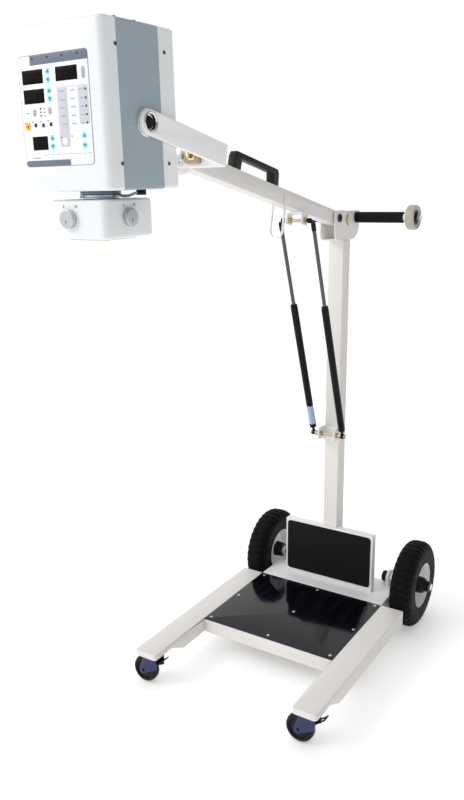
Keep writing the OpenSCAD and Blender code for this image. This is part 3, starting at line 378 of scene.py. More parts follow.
# ---- Mast and mast head -------------------------------------------------------------
# Square tube on a welded foot. Two laser-cut cheeks on top, with a flat top, a small
# round low at the front and a large one behind, carry the arm's bolt and the handlebar.
dress(warm_paint, 0.0025, "mast", segments=3)
quarter = np.linspace(0.0, math.pi / 2, 13)
cheek_low, cheek_high, cheek_reach = 1156.0, 1235.0, 80
cheek_inside, cheek_outside = 20, 24
front_r, rear_r, nick = 22, 46, 2
front_round = np.column_stack([-cheek_reach + front_r * (1 - np.sin(quarter)),
                               cheek_low + front_r * (1 - np.cos(quarter))])
rear_round = np.column_stack([cheek_reach - rear_r * (1 - np.cos(quarter)),
                              cheek_low + rear_r * (1 - np.sin(quarter))])
top = [(-cheek_reach, cheek_high - nick), (-cheek_reach + nick, cheek_high), (cheek_reach - nick, cheek_high),
       (cheek_reach, cheek_high - nick)]
plan = np.vstack([front_round, top, rear_round])
cheeks = []
for near, far in ((-cheek_outside, -cheek_inside), (cheek_inside, cheek_outside)):
    levels = [(near, 0.994), (near + 0.6, 1.0), (far - 0.6, 1.0), (far, 0.994)]
    middle = np.array([0.0, (cheek_low + cheek_high) / 2])
    rings = [np.column_stack([np.full(len(plan), x), (plan - middle) * k + middle]) for x, k in levels]
    cheeks.append(patch(stand(np.array(rings)), ends=True))
shape("mast_head_shape", warm_paint, "base", "frame_paint", *cheeks,
      patch(stand.at(0, -12, cheek_low)(slab(2 * cheek_inside, 92, 0.5, 4.0, 0.2)), ends=True),
      stands_for=["mast_head"])
black_steel = steel("black_oxide_steel", (0.10, 0.10, 0.11), 0.35)
coat(black_steel, "pivot_bolt")

# ---- Rear wheels --------------------------------------------------------------------
# Ten-inch block-tread tyres on pressed white rims: a lip, a stepped dish and a black
# hub that turns on the stub axle between two black nuts.
def eased(points, ease, steps=4):
    """A polyline whose every inner corner P becomes (1-t)^2 A + 2t(1-t) P + t^2 B, with A and B ease away."""
    points = np.asarray(points, float)
    before, corner, after = points[:-2], points[1:-1], points[2:]
    reach = [np.linalg.norm(p - corner, axis=1, keepdims=True) for p in (before, after)]
    first, last = (corner + (p - corner) * np.minimum(ease / r, 0.5) for p, r in zip((before, after), reach))
    t = np.linspace(0.0, 1.0, steps + 1)[None, :, None]
    curve = (1 - t) ** 2 * first[:, None] + 2 * t * (1 - t) * corner[:, None] + t * t * last[:, None]
    return np.vstack([points[:1], curve.reshape(-1, points.shape[1]), points[-1:]])


def turned(profile, steps=72):
    """A profile of (along, radius) pairs turned about the first axis: (along, r cos t, r sin t)."""
    t = np.linspace(0.0, 2 * math.pi, steps, endpoint=False)
    along, radius = np.asarray(profile, float).T[:, :, None]
    return np.stack(np.broadcast_arrays(along, radius * np.cos(t), radius * np.sin(t)), -1)


def moulded(name, colour, roughness, grain=1400.0, depth=0.00008):
    """Moulded plastic or rubber: a fine spark-eroded grain and uneven gloss."""
    skin = Finish(name, colour, roughness, **{"Specular IOR Level": 0.15 if max(colour) < 0.1 else 0.5})
    cloud = skin.noise(30.0, 3.0)
    skin.feed("Base Color", skin.tone(cloud, 0.12))
    skin.feed("Roughness", roughness - 0.05 + cloud * 0.1)
    skin.bump(skin.noise(grain, 2.0), depth, 0.6)
    return skin.material


black_plastic = moulded("black_plastic", (0.006, 0.006, 0.007), 0.38)
chrome = steel("chrome_plate", (0.78, 0.79, 0.80), 0.12)
coat(chrome, "stub_axles")
tread = Finish("tyre_rubber", (0.003, 0.003, 0.003), 0.60, **{"Specular IOR Level": 0.10})
tread.feed("Roughness", 0.50 + tread.noise(60.0, 3.0) * 0.2)
tread.bump(tread.noise(400.0, 2.0), 0.0003, 0.5)
rim_paint = powder("rim_white_paint", (0.80, 0.81, 0.82), 0.30)
carcass = eased([(-33, 76), (-34, 86), (-34, 108), (-27, 122), (-16, 129.5), (16, 129.5), (27, 122),
                 (34, 108), (34, 86), (33, 76)], 9.0, 5)
around = np.linspace(0.0, 2 * math.pi, 288, endpoint=False)
height = np.interp(carcass[:, 1], (100, 112, 128), (0.0, 1.0, 1.0))[:, None]
slant = around[None, :] + np.abs(carcass[:, :1]) * 0.0026
blocks, groove_depth = 36, 3.6
groove = np.clip(1.6 - 3.4 * np.abs(((slant * blocks / (2 * math.pi)) % 1) - 0.5), 0.0, 1.0)
centre_groove = np.clip(1.5 - np.abs(carcass[:, :1]) / 2.5, 0.0, 1.0)
radius = carcass[:, 1:] - groove_depth * height * np.maximum(1 - groove, centre_groove)
bolt_count, bolt_circle = 5, 50
for sign, name in ((-1, "left"), (1, "right")):
    wheel = Place(joint[name + "_wheel_spin"]["pos_m"])
    grid = np.stack(np.broadcast_arrays(carcass[:, :1] * sign, radius * np.cos(around),
                                        radius * np.sin(around)), -1)
    bore = turned([(-33 * sign, 76), (-33 * sign, 68), (33 * sign, 68), (33 * sign, 76)], 288)
    shape(name + "_tyre_shape", tread.material, name + "_wheel", "tyre_black", patch(wheel(grid)),
          patch(wheel(bore)), stands_for=[name + "_tyre"])
    dish = eased([(31, 68), (33.5, 74), (31.5, 76), (28, 70), (22, 66), (6, 63), (3, 56), (3, 44), (8, 40),
                  (10, 30), (16, 27), (16, 24)], 2.5, 3)
    back = eased([(-16, 24), (-14, 30), (-3, 44), (-3, 58), (-22, 64), (-30, 68), (-31.5, 76), (-33.5, 74),
                  (-31, 68)], 2.5, 3)
    inner = np.vstack([dish, back]) * [sign, 1]
    shape(name + "_rim_shape", rim_paint, name + "_wheel", "white_paint",
          patch(wheel(turned(inner, 96)), along=True), stands_for=[name + "_rim"])
    barrel = eased([(-41, 11), (-41, 22), (-14, 25), (14, 25), (30, 24), (39, 21), (39, 11)], 2.0, 3)
    shape(name + "_hub", black_plastic, name + "_wheel", "black_plastic",
          patch(wheel(turned(barrel * [sign, 1], 64)), along=True))
    bolts = []
    for angle in np.linspace(0.0, 2 * math.pi, bolt_count, endpoint=False) + 0.3:
        spot = wheel.at(0, bolt_circle * math.cos(angle), bolt_circle * math.sin(angle))
        hexagon = turned([(2.5 * sign, 0), (2.5 * sign, 6), (8 * sign, 6), (9 * sign, 4), (9 * sign, 0)], 6)
        bolts.append(patch(spot(hexagon)))
    shape(name + "_rim_bolts", zinc, name + "_wheel", "steel", *bolts)
nut_patches = []
axle = Place(joint["left_wheel_spin"]["pos_m"] * np.array([0, 1, 1]))
for sign in (-1, 1):
    for profile in ([(148, 0), (148, 10), (149.5, 14), (153, 17), (166, 17), (166, 0)],
                    [(284.6, 10.2), (284.6, 16), (296, 16), (298, 14), (298, 10.2)]):
        nut_patches.append(patch(axle(turned(np.array(profile) * [sign, 1], 48)), along=profile[0][1] > 1))
shape("axle_nut_caps", black_plastic, "base", "black_plastic", *nut_patches, stands_for=["axle_nuts"])

# ---- Casters ------------------------------------------------------------------------
# Plated steel swivel forks with a ball race under the top plate, soft black tyres
# with rounded crowns on dark cores, and a black brake pedal.
fork_steel = steel("dark_plated_steel", (0.055, 0.06, 0.12), 0.14)
core_grey = moulded("caster_core_plastic", (0.020, 0.020, 0.035), 0.30)
caster_rubber = moulded("caster_rubber", (0.010, 0.010, 0.013), 0.30, 500.0, 0.0001)
dress(fork_steel, 0.0006, "left_caster_fork", "right_caster_fork")
dress(black_plastic, 0.0008, "left_caster_pedal", "right_caster_pedal")
for name in ("left", "right"):
    roller = Place(joint[name + "_caster_roll"]["pos_m"], (0.0, 1.0, 0.0))
    crown = eased([(-8, 24), (-12.5, 26), (-14, 30), (-9.5, 36), (0, 37.5), (9.5, 36), (14, 30), (12.5, 26),
                   (8, 24)], 4.0, 5)
    shape(name + "_caster_tyre", caster_rubber, name + "_roller", "caster_rubber",
          patch(roller(turned(crown, 72)), along=True), stands_for=[name + "_caster_wheel"])
    core = eased([(-12, 5.05), (-12, 10), (-6, 13), (-6, 22), (-9, 25), (9, 25), (6, 22), (6, 13), (12, 10),
                  (12, 5.05)], 1.5, 3)
    shape(name + "_caster_core", core_grey, name + "_roller", "caster_rubber",
          patch(roller(turned(core, 64)), along=True))
    stem = Place(joint[name + "_caster_swivel"]["pos_m"], (0.0, 0.0, -1.0), (1.0, 0.0, 0.0))
    race = eased([(-1.6, 12), (-1.6, 22), (1.0, 24), (4.0, 24), (6.0, 21.5), (6.0, 12)], 1.2, 3)
    shape(name + "_caster_race", chrome, name + "_caster", "caster_steel",
          patch(stem(turned(race, 64)), along=True))

# ---- Handlebar, grips and bar wheel --------------------------------------------------
# Chrome tube through both cheeks with closed-cell foam grips; the right end carries
# a cream rubber wheel on a dark hub, between a chrome washer and a chrome nut.
coat(chrome, "handlebar")
foam = moulded("grip_foam", (0.006, 0.006, 0.007), 0.75, 1100.0, 0.0004)
dress(foam, 0.0020, "left_grip", "right_grip", segments=3)
cream = moulded("cream_rubber", (0.46, 0.42, 0.36), 0.45, 600.0, 0.0001)
bar = Place(joint["bar_wheel_spin"]["pos_m"])
crown = eased([(-9, 20), (-10.5, 27), (-12.9, 28), (-12.9, 31), (-9, 33.4), (9, 33.4), (12.9, 31), (12.9, 28),
               (10.5, 27), (9, 20)], 2.5, 4)
shape("bar_wheel_crown", cream, "bar_wheel", "bar_tyre_rubber", patch(bar(turned(crown, 72)), along=True),
      stands_for=["bar_wheel_tyre"])
boss = eased([(-13, 6.05), (-13, 11), (-9, 13), (-8, 19.8), (8, 19.8), (9, 13), (13, 11), (13, 6.05)], 1.0, 3)
shape("bar_wheel_boss", black_plastic, "bar_wheel", "black_plastic", patch(bar(turned(boss, 64)), along=True),
      stands_for=["bar_wheel_hub"])

# ---- Arm, carry handle and cable hook ------------------------------------------------
# Rectangular tube with a welded round flange at the head end; a black moulded handle
# stands on it and a bent white strap hangs under it for the cable.
dress(warm_paint, 0.0025, "arm_tube", segments=3)
handle_black = moulded("handle_plastic", (0.020, 0.020, 0.020), 0.42)
dress(handle_black, 0.0030, "arm_handle", segments=3)
dress(white_paint, 0.0008, "cable_hook")

# ---- Gas springs and their brackets --------------------------------------------------
# Black cylinders with a rolled end, the left one with a plain blue sticker, grey rods,
# and black ball sockets beside brass studs in folded white brackets.
brass = steel("brass", (0.50, 0.40, 0.24), 0.32)
coat(brass, "upper_studs", "lower_studs")
dress(white_paint, 0.0010, "upper_bracket", "lower_bracket")
cylinder_black = moulded("cylinder_enamel", (0.003, 0.003, 0.0035), 0.30, 300.0, 0.00003)
rod_grey = steel("nitrided_rod", (0.10, 0.10, 0.105), 0.30, (1.0, 1.0, 0.05))
sticker = Finish("blue_sticker", (0.35, 0.50, 0.66), 0.35)
sticker.feed("Base Color", sticker.tone(sticker.noise(50.0, 2.0), 0.05))
cylinder_r, neck_r, rod_r, eye_r, pin_r = 9.9, 3.9, 5, 6.9, 4.06
cylinder_end, piston, socket_start, spring_length = 421, 232, 635, 659.3
for name in ("left", "right"):
    spring = Place(joint[name + "_cylinder_tilt"]["pos_m"], z=joint[name + "_rod_slide"]["axis"])
    spin = Place(spring.origin, x=joint[name + "_rod_slide"]["axis"], z=(1.0, 0.0, 0.0))
    barrel = eased([(20.2, 0), (20.2, 8.5), (22, cylinder_r), (cylinder_end - 8, cylinder_r),
                    (cylinder_end - 5, 8.6), (cylinder_end - 3, cylinder_r), (cylinder_end, 8.4),
                    (cylinder_end, 0)], 1.2, 3)
    eye = turned([(-4.4, pin_r), (-4.4, eye_r), (4.4, eye_r), (4.4, pin_r)], 40)
    neck = turned([(4, neck_r), (21, neck_r)], 32)
    shape(name + "_cylinder_shape", cylinder_black, name + "_cylinder", "dark_steel",
          patch(spin(turned(barrel, 48))), patch(spring(eye), along=True), patch(spin(neck)),
          stands_for=[name + "_spring_cylinder"])
    if name == "left":
        sleeve = turned([(34, 9.85), (34, 9.98), (96, 9.98), (96, 9.85)], 48)
        shape("cylinder_sticker", sticker.material, "left_cylinder", "panel_face",
              patch(spin(sleeve), along=True))
    shaft = turned([(piston, 0), (piston, rod_r), (socket_start, rod_r), (socket_start, 0)], 40)
    shape(name + "_rod_shape", rod_grey, name + "_rod", "steel", patch(spin(shaft)),
          stands_for=[name + "_spring_rod"])
    socket = eased([(socket_start - 2, 4.6), (socket_start - 2, 6), (650, 6), (655, 5)], 1.0, 3)
    ball = turned(eased([(-5.4, 0), (-5.4, 5.4), (-3, 6.4), (3, 6.4), (5.4, 5.4), (5.4, 0)], 1.5, 3), 40)
    shape(name + "_rod_socket", black_plastic, name + "_rod", "dark_steel",
          patch(spin(turned(socket, 40)), ends=True), patch(spring.at(0, 0, spring_length)(ball)))

# ---- Fork and swivel -----------------------------------------------------------------
# White painted flat-bar fork with rounded tine ends, on a chrome swivel bolt with a
# brass block beside it for the swivel lock.
# The fork's white is a lighter copy of the white paint. The extra lightness is painted light, for the bright
# light the fork catches.
fork_white_with_painted_light = powder("fork_paint_lightened_as_painted_light", (0.94, 0.94, 0.94), 0.34)
dress(fork_white_with_painted_light, 0.0018, "fork_frame", segments=3)
dress(chrome, 0.0008, "swivel_bolt")
dress(brass, 0.0012, "lock_block")

# ---- Head housing --------------------------------------------------------------------
# A folded blue-grey band between two white moulded covers with broad rounded upright
# edges and tighter ones at the top and the bottom.
band_paint = powder("blue_grey_powder_coat", (0.34, 0.42, 0.47), 0.42)
coat(black_steel, "case_screws")
head_white = powder("head_white_paint", (0.86, 0.885, 0.90), 0.30)
head = Place(joint["head_tilt"]["pos_m"], z=joint["collimator_turn"]["axis"])
facing = Place(head.origin, x=(1.0, 0.0, 0.0), z=-head.axes[1])
head_w, head_h, head_middle, wall = 195, 262.5, 23.25, 3.0
head_front, head_rear, front_seam, rear_seam = -98, 94, -62, 45
beam_y = -13


def housing(rows):
    """Rings of a box along the head's depth: each row is a depth, a side and a top inset and a corner."""
    rings = []
    for depth, side_in, top_in, corner in rows:
        flat = outline(head_w - 2 * side_in, head_h - 2 * top_in, corner, 6) + [0.0, head_middle]
        rings.append(np.column_stack([flat[:, 0], np.full(len(flat), depth), flat[:, 1]]))
    return np.array(rings)


def cover(tip, seam):
    """Half of the housing. At depth 12 (1 - cos a) from its outer face the sides are drawn in by
    12 (1 - sin a) and the top and bottom by 6 (1 - sin a); a straight wall follows, and the inside."""
    way = math.copysign(1.0, seam - tip)
    edge, brow = 12, 6
    outer = [(tip + way * edge * (1 - math.cos(a)), edge * (1 - math.sin(a)), brow * (1 - math.sin(a)), 6.0)
             for a in np.linspace(0.0, math.pi / 2, 8)]
    lip = [(seam - way * 0.8, 0.0, 0.0, 6.0), (seam, 0.8, 0.8, 5.2), (seam, wall, wall, 3.0)]
    return housing(outer + lip + [(tip + way * edge, wall, wall, 3.0), (tip + way * wall, edge, 7.0, 3.0)])


for name, tip, seam in (("front", head_front, front_seam - 0.2), ("rear", head_rear, rear_seam + 0.2)):
    shape(name + "_cover_shape", head_white, "head", "white_paint", patch(head(cover(tip, seam)), ends=True),
          stands_for=[name + "_cover"])
belt = housing([(front_seam, 0.6, 0.6, 4.4), (front_seam + 0.6, 0, 0, 5), (rear_seam - 0.6, 0, 0, 5),
                (rear_seam, 0.6, 0.6, 4.4), (rear_seam, wall, wall, 2), (front_seam, wall, wall, 2)])
shape("head_band_shape", band_paint, "head", "band_paint", patch(head(belt), along=True),
      stands_for=["head_band"])
spot = head.at(head_w / 2 - 0.3, -39.4, -7)
dome = turned([(0, 0), (0, 2.4), (0.8, 2.0), (1.2, 1.0), (1.3, 0)], 24)
shape("earth_screw", zinc, "head", "steel", patch(spot(dome)))
recess = turned([(0, 0), (0, 1.2), (0.19, 1.1), (0.19, 0)], 6)
screw_faces = [patch(head.at(head_w / 2 + 1, y, z)(recess)) for y in (-66, 60) for z in (114, -66)]
shape("screw_recesses", zinc, "head", "steel", *screw_faces)

# ---- Trunnions -----------------------------------------------------------------------
# Turned chrome rings outside the tines round a dark recess, and a broad flange between
# each tine and the band.
rings, caps = [], []
for sign in (-1, 1):
    profile = [(97.5, 0), (97.5, 23), (99.2, 23), (99.9, 21.5), (99.9, 14), (108.8, 14), (108.8, 18),
               (110.0, 18), (110.8, 17), (110.8, 15.5), (109.2, 13.6), (104.5, 12.6), (103.5, 11), (103.5, 0)]
    rings.append(patch(head(turned(np.array(profile) * [sign, 1], 64))))
    plug = eased([(103.0, 0), (103.0, 10.6), (106.0, 10.2), (107.0, 8.0), (107.2, 0)], 1.0, 3) * [sign, 1]
    caps.append(patch(head.at(0, 1.0, 0)(turned(plug, 48))))
shape("trunnion_rings", chrome, "head", "chrome", *rings, stands_for=["trunnion_hubs"])
shape("trunnion_caps", black_plastic, "head", "dark_steel", *caps)

# ---- Control panel -------------------------------------------------------------------
# Membrane keypad under one glossy film: dark numeric windows with unlit digits, round
# cyan and amber key fields, grey columns and plain bars where captions would be.
panel_w, panel_h = 154, 174
film_x, film_y = panel_w / 2 - 0.7, panel_h / 2 - 0.7
panel = facing.at(-9.5, 20.5, -head_front)


def film(name, colour, roughness=0.35, gloss_coat=0.15, shine=0.25):
    """One printed colour of the film, with a faint print grain under the gloss."""
    ink = Finish(name, colour, roughness, **{"Coat Weight": gloss_coat, "Coat Roughness": 0.12,
                                             "Specular IOR Level": shine})
    ink.feed("Base Color", ink.tone(ink.noise(220.0, 2.0), 0.03))
    ink.feed("Roughness", roughness - 0.04 + ink.noise(90.0, 2.0) * 0.08)
    return ink.material


def tile(x0, x1, y0, y1, top, radius=0.4):
    """A flat field of the film between those edges, its upper rim softened."""
    block = slab(x1 - x0, y1 - y0, radius, 0.2, 0.04, 6)
    return patch(panel.at((x0 + x1) / 2, (y0 + y1) / 2, top - 0.2)(block), ends=True)


def arrow(x, y, size, top):
    """A flat triangle that points up, or down where size is negative."""
    flat = np.array([(-abs(size), -size * 0.7), (abs(size), -size * 0.7), (0, size)])
    rows = [np.column_stack([flat, np.full(3, z)]) for z in (top - 0.1, top)]
    return patch(panel.at(x, y, 0)(np.array(rows)), ends=True)


rim = slab(panel_w, panel_h, 7, 0.5, 0.1, 6)
shape("panel_base", film("panel_rim_ink", (0.10, 0.11, 0.18)), "head", "panel_face",
      patch(panel(rim), ends=True), stands_for=["control_panel"])
shape("panel_film", film("panel_white_ink", (0.90, 0.92, 0.96)), "head", "panel_face",
      tile(-film_x, film_x, -film_y, film_y, 0.6, 6.3))
shape("panel_bands", film("panel_blue_grey_ink", (0.16, 0.19, 0.25)), "head", "panel_face",
      tile(-49.3, film_x, 71.5, film_y, 0.68, 5.0), tile(-49.3, -40.0, 71.5, film_y, 0.67),
      tile(66.0, film_x, 71.5, 80.0, 0.67), tile(-film_x, 25.0, -film_y, -77.0, 0.68, 4.6),
      tile(15.0, 25.7, -film_y, -77.0, 0.67))
shape("panel_columns", film("panel_column_ink", (0.62, 0.62, 0.68)), "head", "panel_face",
      tile(6.1, 28.1, -57.5, 33.5, 0.66, 1.0), tile(51.7, 73.2, -24.0, 33.5, 0.66, 1.0))
displays = ((-69.3, -22.3, 43.1, 65.0, 3), (-69.3, -22.3, 13.0, 35.2, 3), (6.1, 53.2, 43.5, 65.2, 3),
            (-57.3, -22.3, -60.5, -38.8, 2))
shape("panel_windows", film("window_black", (0.0015, 0.001, 0.002), 0.30, 0.0, 0.08), "head", "panel_face",
      *[tile(x0, x1, y0, y1, 0.72, 0.8) for x0, x1, y0, y1, count in displays])
segments = []
stroke_x, stroke_h = 3.6, 6.4
for x0, x1, y0, y1, count in displays:
    for digit in range(count):
        x, y = x0 + (x1 - x0) * (digit + 0.5) / count, (y0 + y1) / 2
        for level in (y - stroke_h, y, y + stroke_h):
            segments.append(tile(x - stroke_x, x + stroke_x, level - 0.6, level + 0.6, 0.76, 0.3))
        for side_x in (x - stroke_x, x + stroke_x):
            for level in (y - stroke_h / 2, y + stroke_h / 2):
                segments.append(tile(side_x - 0.6, side_x + 0.6, level - 2.4, level + 2.4, 0.76, 0.3))
shape("panel_unlit_digits", film("unlit_red", (0.010, 0.0015, 0.003), 0.35, 0.0, 0.08), "head", "panel_face",
      *segments)
pairs = ((-11.0, 60.5, 47.5), (-10.5, 31.0, 18.5), (-11.7, -42.5, -55.5), (59.3, -41.5, -56.5))
shape("panel_cyan_keys", film("cyan_ink", (0.36, 0.80, 0.93)), "head", "panel_face",
      *[tile(x - 5.6, x + 5.6, y - 5.6, y + 5.6, 0.74, 5.55) for x, *heights in pairs for y in heights])
shape("panel_key_arrows", film("deep_cyan_ink", (0.01, 0.22, 0.33)), "head", "panel_face",
      *[arrow(x, y, size, 0.80) for x, high, low in pairs for y, size in ((high, 3.3), (low, -3.3))])
shape("panel_amber_key", film("amber_ink", (0.90, 0.46, 0.03)), "head", "panel_face",
      tile(-72.2, -58.4, -29.0, -15.2, 0.74, 6.85))
shape("panel_pills", film("pill_grey_ink", (0.42, 0.42, 0.45)), "head", "panel_face",
      tile(62.0, 69.6, 43.6, 61.4, 0.72, 3.6), tile(-51.0, -43.6, -7.0, 4.0, 0.72, 2.2),
      tile(-16.2, -8.6, -5.5, 5.5, 0.72, 3.4))
column_rows = (28.2, 15.0, 2.8, -10.0, -22.4)
marks = [(x, 81.5, 1.9) for x in (-43.3, -9.8, 22.7, 55.7)]
marks += [(67.7, y, 1.9) for y in column_rows]
marks += [(-33.3, y, 1.6) for y in (4.5, -0.9, -6.5)]
marks += [(-71.5, -16.4, 1.2), (-53.6, -15.6, 1.2), (-36.0, -15.8, 1.2), (-18.4, -14.9, 1.2),
          (8.0, -42.5, 1.2), (32.0, -41.5, 1.2), (-65.3, -22.1, 1.6), (-47.3, -20.7, 3.1),
          (-29.7, -21.6, 3.1), (-12.3, -20.8, 3.1)]
shape("panel_dark_marks", film("dark_ink", (0.020, 0.022, 0.040)), "head", "panel_face",
      *[tile(x - r, x + r, y - r, y + r, 0.80, r * (0.96 if r < 2 else 0.4)) for x, y, r in marks])
bars = [(x, y, w) for y in column_rows for x, w in ((11.1, 12.0), (34.7, 10.0), (54.2, 9.0))]
bars += [(-69.0, -1.0, 10.0), (-22.0, -1.0, 0.5), (-28.0, 4.0, 6.0), (-28.0, -1.5, 6.0), (-28.0, -6.5, 6.0),
         (-60.0, -73.0, 18.0)]
shape("panel_caption_bars", film("caption_grey_ink", (0.40, 0.40, 0.46)), "head", "panel_face",
      *[tile(x, x + w, y - 0.75, y + 0.75, 0.78, 0.3) for x, y, w in bars],
      tile(-36.0, 74.0, -68.9, -68.3, 0.72, 0.2), tile(6.1, 73.2, 34.2, 34.6, 0.72, 0.1))
shape("panel_white_keys", film("panel_key_ink", (0.92, 0.93, 0.95)), "head", "panel_face",
      *[tile(x - 5.2, x + 5.2, y - 5.6, y + 5.6, 0.72, 5.0) for x, y in ((16.0, -48.5), (38.0, -47.5))])

# ---- Tank and tube -------------------------------------------------------------------
# Cast aluminium tank round the glass tube; the tube has a wide bulb, a copper anode
# stem and a focusing cup in its two necks.
cast = Finish("cast_aluminium", (0.62, 0.63, 0.64), 0.45, 1.0)
cast.feed("Roughness", 0.40 + cast.noise(80.0, 3.0) * 0.2)
cast.bump(cast.noise(350.0, 3.0), 0.0003, 0.6)
dress(cast.material, 0.0025, "tube_tank", segments=3)
glass = Finish("tube_glass", (0.90, 0.94, 0.95), 0.06, **{"Transmission Weight": 0.9, "IOR": 1.47})
glass.feed("Roughness", 0.03 + glass.noise(30.0, 2.0) * 0.05)
bulb = eased([(-76.4, 0), (-76.4, 8.6), (-50, 8.9), (-38, 13.5), (-24, 20.8), (24, 20.8), (38, 13.5),
              (50, 8.9), (76.4, 8.6), (76.4, 0)], 5.0, 5)
core = head.at(0, beam_y, -35)
shape("tube_bulb", glass.material, "head", "tube_glass", patch(core(turned(bulb, 64))),
      stands_for=["x_ray_tube"])
copper = steel("copper", (0.72, 0.38, 0.24), 0.30)
anode = eased([(8, 0), (8, 9), (14, 10), (30, 8), (70, 6), (70, 0)], 2.0, 3)
cathode = eased([(-70, 0), (-70, 5), (-18, 6), (-12, 8), (-10, 8), (-10, 3), (-14, 0)], 1.0, 3)
shape("tube_anode", copper, "head", "brass", patch(core(turned(anode, 40))), patch(core(turned(cathode, 40))))

# ---- Turntable and lead --------------------------------------------------------------
# Dark upper ring and bright lower ring with a groove and a small spring latch; the
# collimator's lamp lead comes out of a black plug.
def swept(path, radius, steps=12):
    """A round tube: circles of that radius square to the path at each of its points."""
    path = np.asarray(path, float)
    ahead = np.gradient(path, axis=0)
    ahead /= np.linalg.norm(ahead, axis=1, keepdims=True)
    level = np.cross(ahead, [0.31, 0.17, 0.93])
    level /= np.linalg.norm(level, axis=1, keepdims=True)
    t = np.linspace(0.0, 2 * math.pi, steps, endpoint=False)[None, :, None]
    return path[:, None] + radius * (np.cos(t) * level[:, None] + np.sin(t) * np.cross(ahead, level)[:, None])


def smooth_path(points, count):
    """A smooth curve of count points through the given ones (Catmull-Rom)."""
    points = np.asarray(points, float)
    padded = np.vstack([2 * points[0] - points[1], points, 2 * points[-1] - points[-2]])
    place = np.linspace(0, len(points) - 1 - 1e-9, count)
    k, t = place.astype(int), (place % 1)[:, None]
    a, b, c, d = (padded[k + i] for i in range(4))
    return 0.5 * (2 * b + (c - a) * t + (2 * a - 5 * b + 4 * c - d) * t ** 2
                  + (3 * b - a - 3 * c + d) * t ** 3)


down = Place(head.at(0, beam_y, 0).origin, x=-head.axes[2], z=head.axes[0])
blue_steel = steel("blued_steel", (0.13, 0.17, 0.23), 0.22)
upper_ring = eased([(108.0, 24), (108.0, 36), (114.4, 36), (115.4, 34), (115.4, 24)], 0.6, 3)
lower_ring = eased([(115.4, 24), (115.4, 33), (118.0, 33), (118.6, 31.6), (119.6, 33), (121.9, 33),
                    (121.9, 29), (125.8, 29), (125.8, 33), (128.3, 33), (128.3, 24)], 0.5, 2)
shape("turntable_rings", blue_steel, "head", "steel", patch(down(turned(upper_ring, 96)), along=True),
      stands_for=["turntable"])
shape("turntable_lower", chrome, "head", "steel", patch(down(turned(lower_ring, 96)), along=True))
latch = smooth_path([(-26, -36, -119), (-20, -43, -117), (-8, -46, -114), (2, -46, -113), (8, -44, -112)], 24)
shape("turntable_latch", chrome, "head", "chrome", patch(head(swept(latch, 1.6)), ends=True))
lead_rubber = moulded("lead_grey_rubber", (0.36, 0.35, 0.31), 0.45)
lead = smooth_path(np.array([(39, 7, -5), (33, 6, -5.5), (27, 4.5, -7.5), (20, 2.5, -9.6), (13, 0.5, -10.2),
                             (6, -1, -9.4), (0, -2, -7.2), (-5, -3, -5)]) + [36.0, -6.5, -108.0], 40)
shape("collimator_lead_shape", lead_rubber, "head", "lead_grey", patch(head(swept(lead, 2.4)), ends=True),
      stands_for=["collimator_lead"])
shape("lead_plug", black_plastic, "head", "lead_grey",
      patch(head.at(78, 3, -117)(slab(15.8, 9.8, 2.0, 8.9, 0.8)), ends=True))

# ---- Collimator ----------------------------------------------------------------------
# White moulded box with rounded edges all round, a clear window below whose warm colour is painted shade
# for the brownish shadow under the box, two flat grey knobs and printed scales.
coat(zinc, "blade_left", "blade_right", "blade_front", "blade_rear")
beam = head.at(0, beam_y, 0)
box_w, box_d, box_r, box_top, box_low = 129, 131, 12, -122.4, -188.4
window, collar, sheet = 84, 58.2, 3
knob_z, scale_r = -153.4, 21.0


def box_ring(width, depth, radius, z):
    """A level ring of the box: the rounded rectangle of that size at height z."""
    flat = outline(width, depth, radius, 8)
    return np.column_stack([flat, np.full(len(flat), z)])


quarter = np.linspace(0.0, math.pi / 2, 6)
body = [box_ring(window, window, 1.5, box_low)]
for level, edge, angles in ((box_low, 6, quarter), (box_top, -5, quarter[::-1])):
    for angle in angles:
        inset = abs(edge) * (1 - math.sin(angle))
        body.append(box_ring(box_w - 2 * inset, box_d - 2 * inset, box_r - inset,
                             level + edge * (1 - math.cos(angle))))
body += [box_ring(collar, collar, 29.05, z) for z in (box_top, box_top - sheet)]
body += [box_ring(box_w - 8, box_d - 8, 8, z) for z in (box_top - sheet, box_low + sheet)]
body.append(box_ring(window, window, 1.5, box_low + sheet))
shape("collimator_shape", head_white, "collimator", "white_paint", patch(beam(np.array(body)), along=True),
      stands_for=["collimator_body"])
# The window's warm brownish colour is painted shade. It stands in for the shadow under the box.
window_colour_painted_shade = Finish("window_warm_painted_shade", (0.90, 0.72, 0.50), 0.12, **{"Transmission Weight": 0.55})
window_colour_painted_shade.feed("Roughness", 0.08 + window_colour_painted_shade.noise(60.0, 2.0) * 0.08)
shape("collimator_pane", window_colour_painted_shade.material, "collimator", "window_clear",
      patch(beam.at(0, 0, box_low - 2.9)(slab(window - 0.6, window - 0.6, 1.5, 5.8, 0.6)), ends=True),
      stands_for=["collimator_window"])
knob_grey = steel("satin_knob", (0.56, 0.57, 0.59), 0.38)
print_grey = moulded("printed_grey", (0.16, 0.16, 0.17), 0.5)
side_face = Place(head.at(box_w / 2, beam_y - 5, knob_z).origin, x=head.axes[1], z=(1.0, 0.0, 0.0))
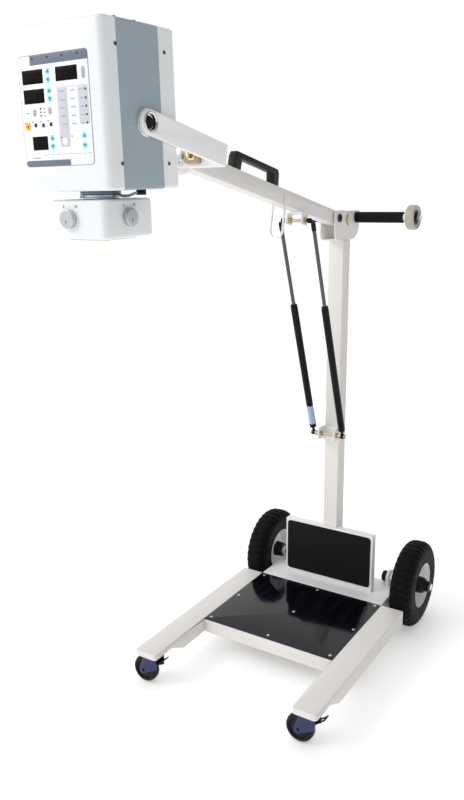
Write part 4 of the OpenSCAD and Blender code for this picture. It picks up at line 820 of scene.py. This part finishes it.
for name, spot in (("front_knob", facing.at(-16, knob_z, box_d / 2 - beam_y)), ("side_knob", side_face)):
    out = Place(spot.origin, x=spot.axes[2], z=spot.axes[1])
    face = eased([(0.4, 4), (0.4, 15.6), (1.6, 16), (7.6, 16), (8.9, 15.2), (9.3, 14.2), (9.3, 0)], 0.5, 3)
    shape(name + "_shape", knob_grey, name, "chrome", patch(out(turned(face, 72))),
          patch(out(turned([(-9, 0), (-9, 3.9), (0.5, 3.9)], 32))), stands_for=[name])
    wedge = np.array([(-2.6, -7.5), (1.2, -6.0), (-2.4, -0.5)])
    rows = np.array([np.column_stack([wedge, np.full(3, z)]) for z in (9.2, 9.5)])
    shape(name + "_pointer", print_grey, name, "black_plastic", patch(spot(rows), ends=True))
    ticks = []
    for angle in np.radians(np.arange(-240, -59, 15)):
        mark = slab(0.7, 2.4, 0.2, 0.15, 0.05) @ np.array([[math.cos(angle), math.sin(angle), 0],
                                                         [-math.sin(angle), math.cos(angle), 0], [0, 0, 1]])
        x, y = -scale_r * math.sin(angle), scale_r * math.cos(angle)
        ticks.append(patch(spot.at(x, y, 0.0)(mark), ends=True))
    block = slab(2.0, 5.0, 0.3, 0.15, 0.05)
    ticks += [patch(spot.at(x, 20.5, 0.0)(block), ends=True) for x in (-12.0, 14.0, 18.0)]
    shape(name + "_scale", print_grey, "collimator", "black_plastic", *ticks)

# ---- Cheek label ---------------------------------------------------------------------
# A plain yellow triangle with a black border, stuck on the outer right cheek.
yellow = film("label_yellow", (0.85, 0.62, 0.02))
label_black = film("label_black", (0.02, 0.02, 0.02))
cheek = Place(stand.at(cheek_outside, -6, 1211).origin, x=(0.0, 1.0, 0.0), z=(1.0, 0.0, 0.0))
layers = (("label_border", 1.0, label_black, 0.0, 0.15), ("label_field", 0.66, yellow, 0.15, 0.22))
for name, size, colour, low, high in layers:
    flat = np.array([(-11.0, 0.0), (8.0, -18.0), (8.0, 18.0)]) * size + [0.6 * (1 - size), 0.0]
    rows = np.array([np.column_stack([flat, np.full(3, z)]) for z in (low, high)])
    shape(name, colour, "base", "panel_face", patch(cheek(rows), ends=True))

# ---- Floor --------------------------------------------------------------------------
# A wide white sheet just under the tyres. It gives off a little light, so that its far
# edge does not show from the camera.
floor_mesh = bpy.data.meshes.new("floor")
floor_mesh.from_pydata([(-40, -40, -0.0005), (40, -40, -0.0005), (40, 40, -0.0005), (-40, 40, -0.0005)],
                       [], [(0, 1, 2, 3)])
floor = bpy.data.objects.new("floor", floor_mesh)
bpy.context.scene.collection.objects.link(floor)
paper = Finish("paper_sweep", (0.90, 0.90, 0.90), 0.8, **{"Emission Color": (1.0, 1.0, 1.0, 1.0),
                                                         "Emission Strength": 0.34})
floor_mesh.materials.append(paper.material)
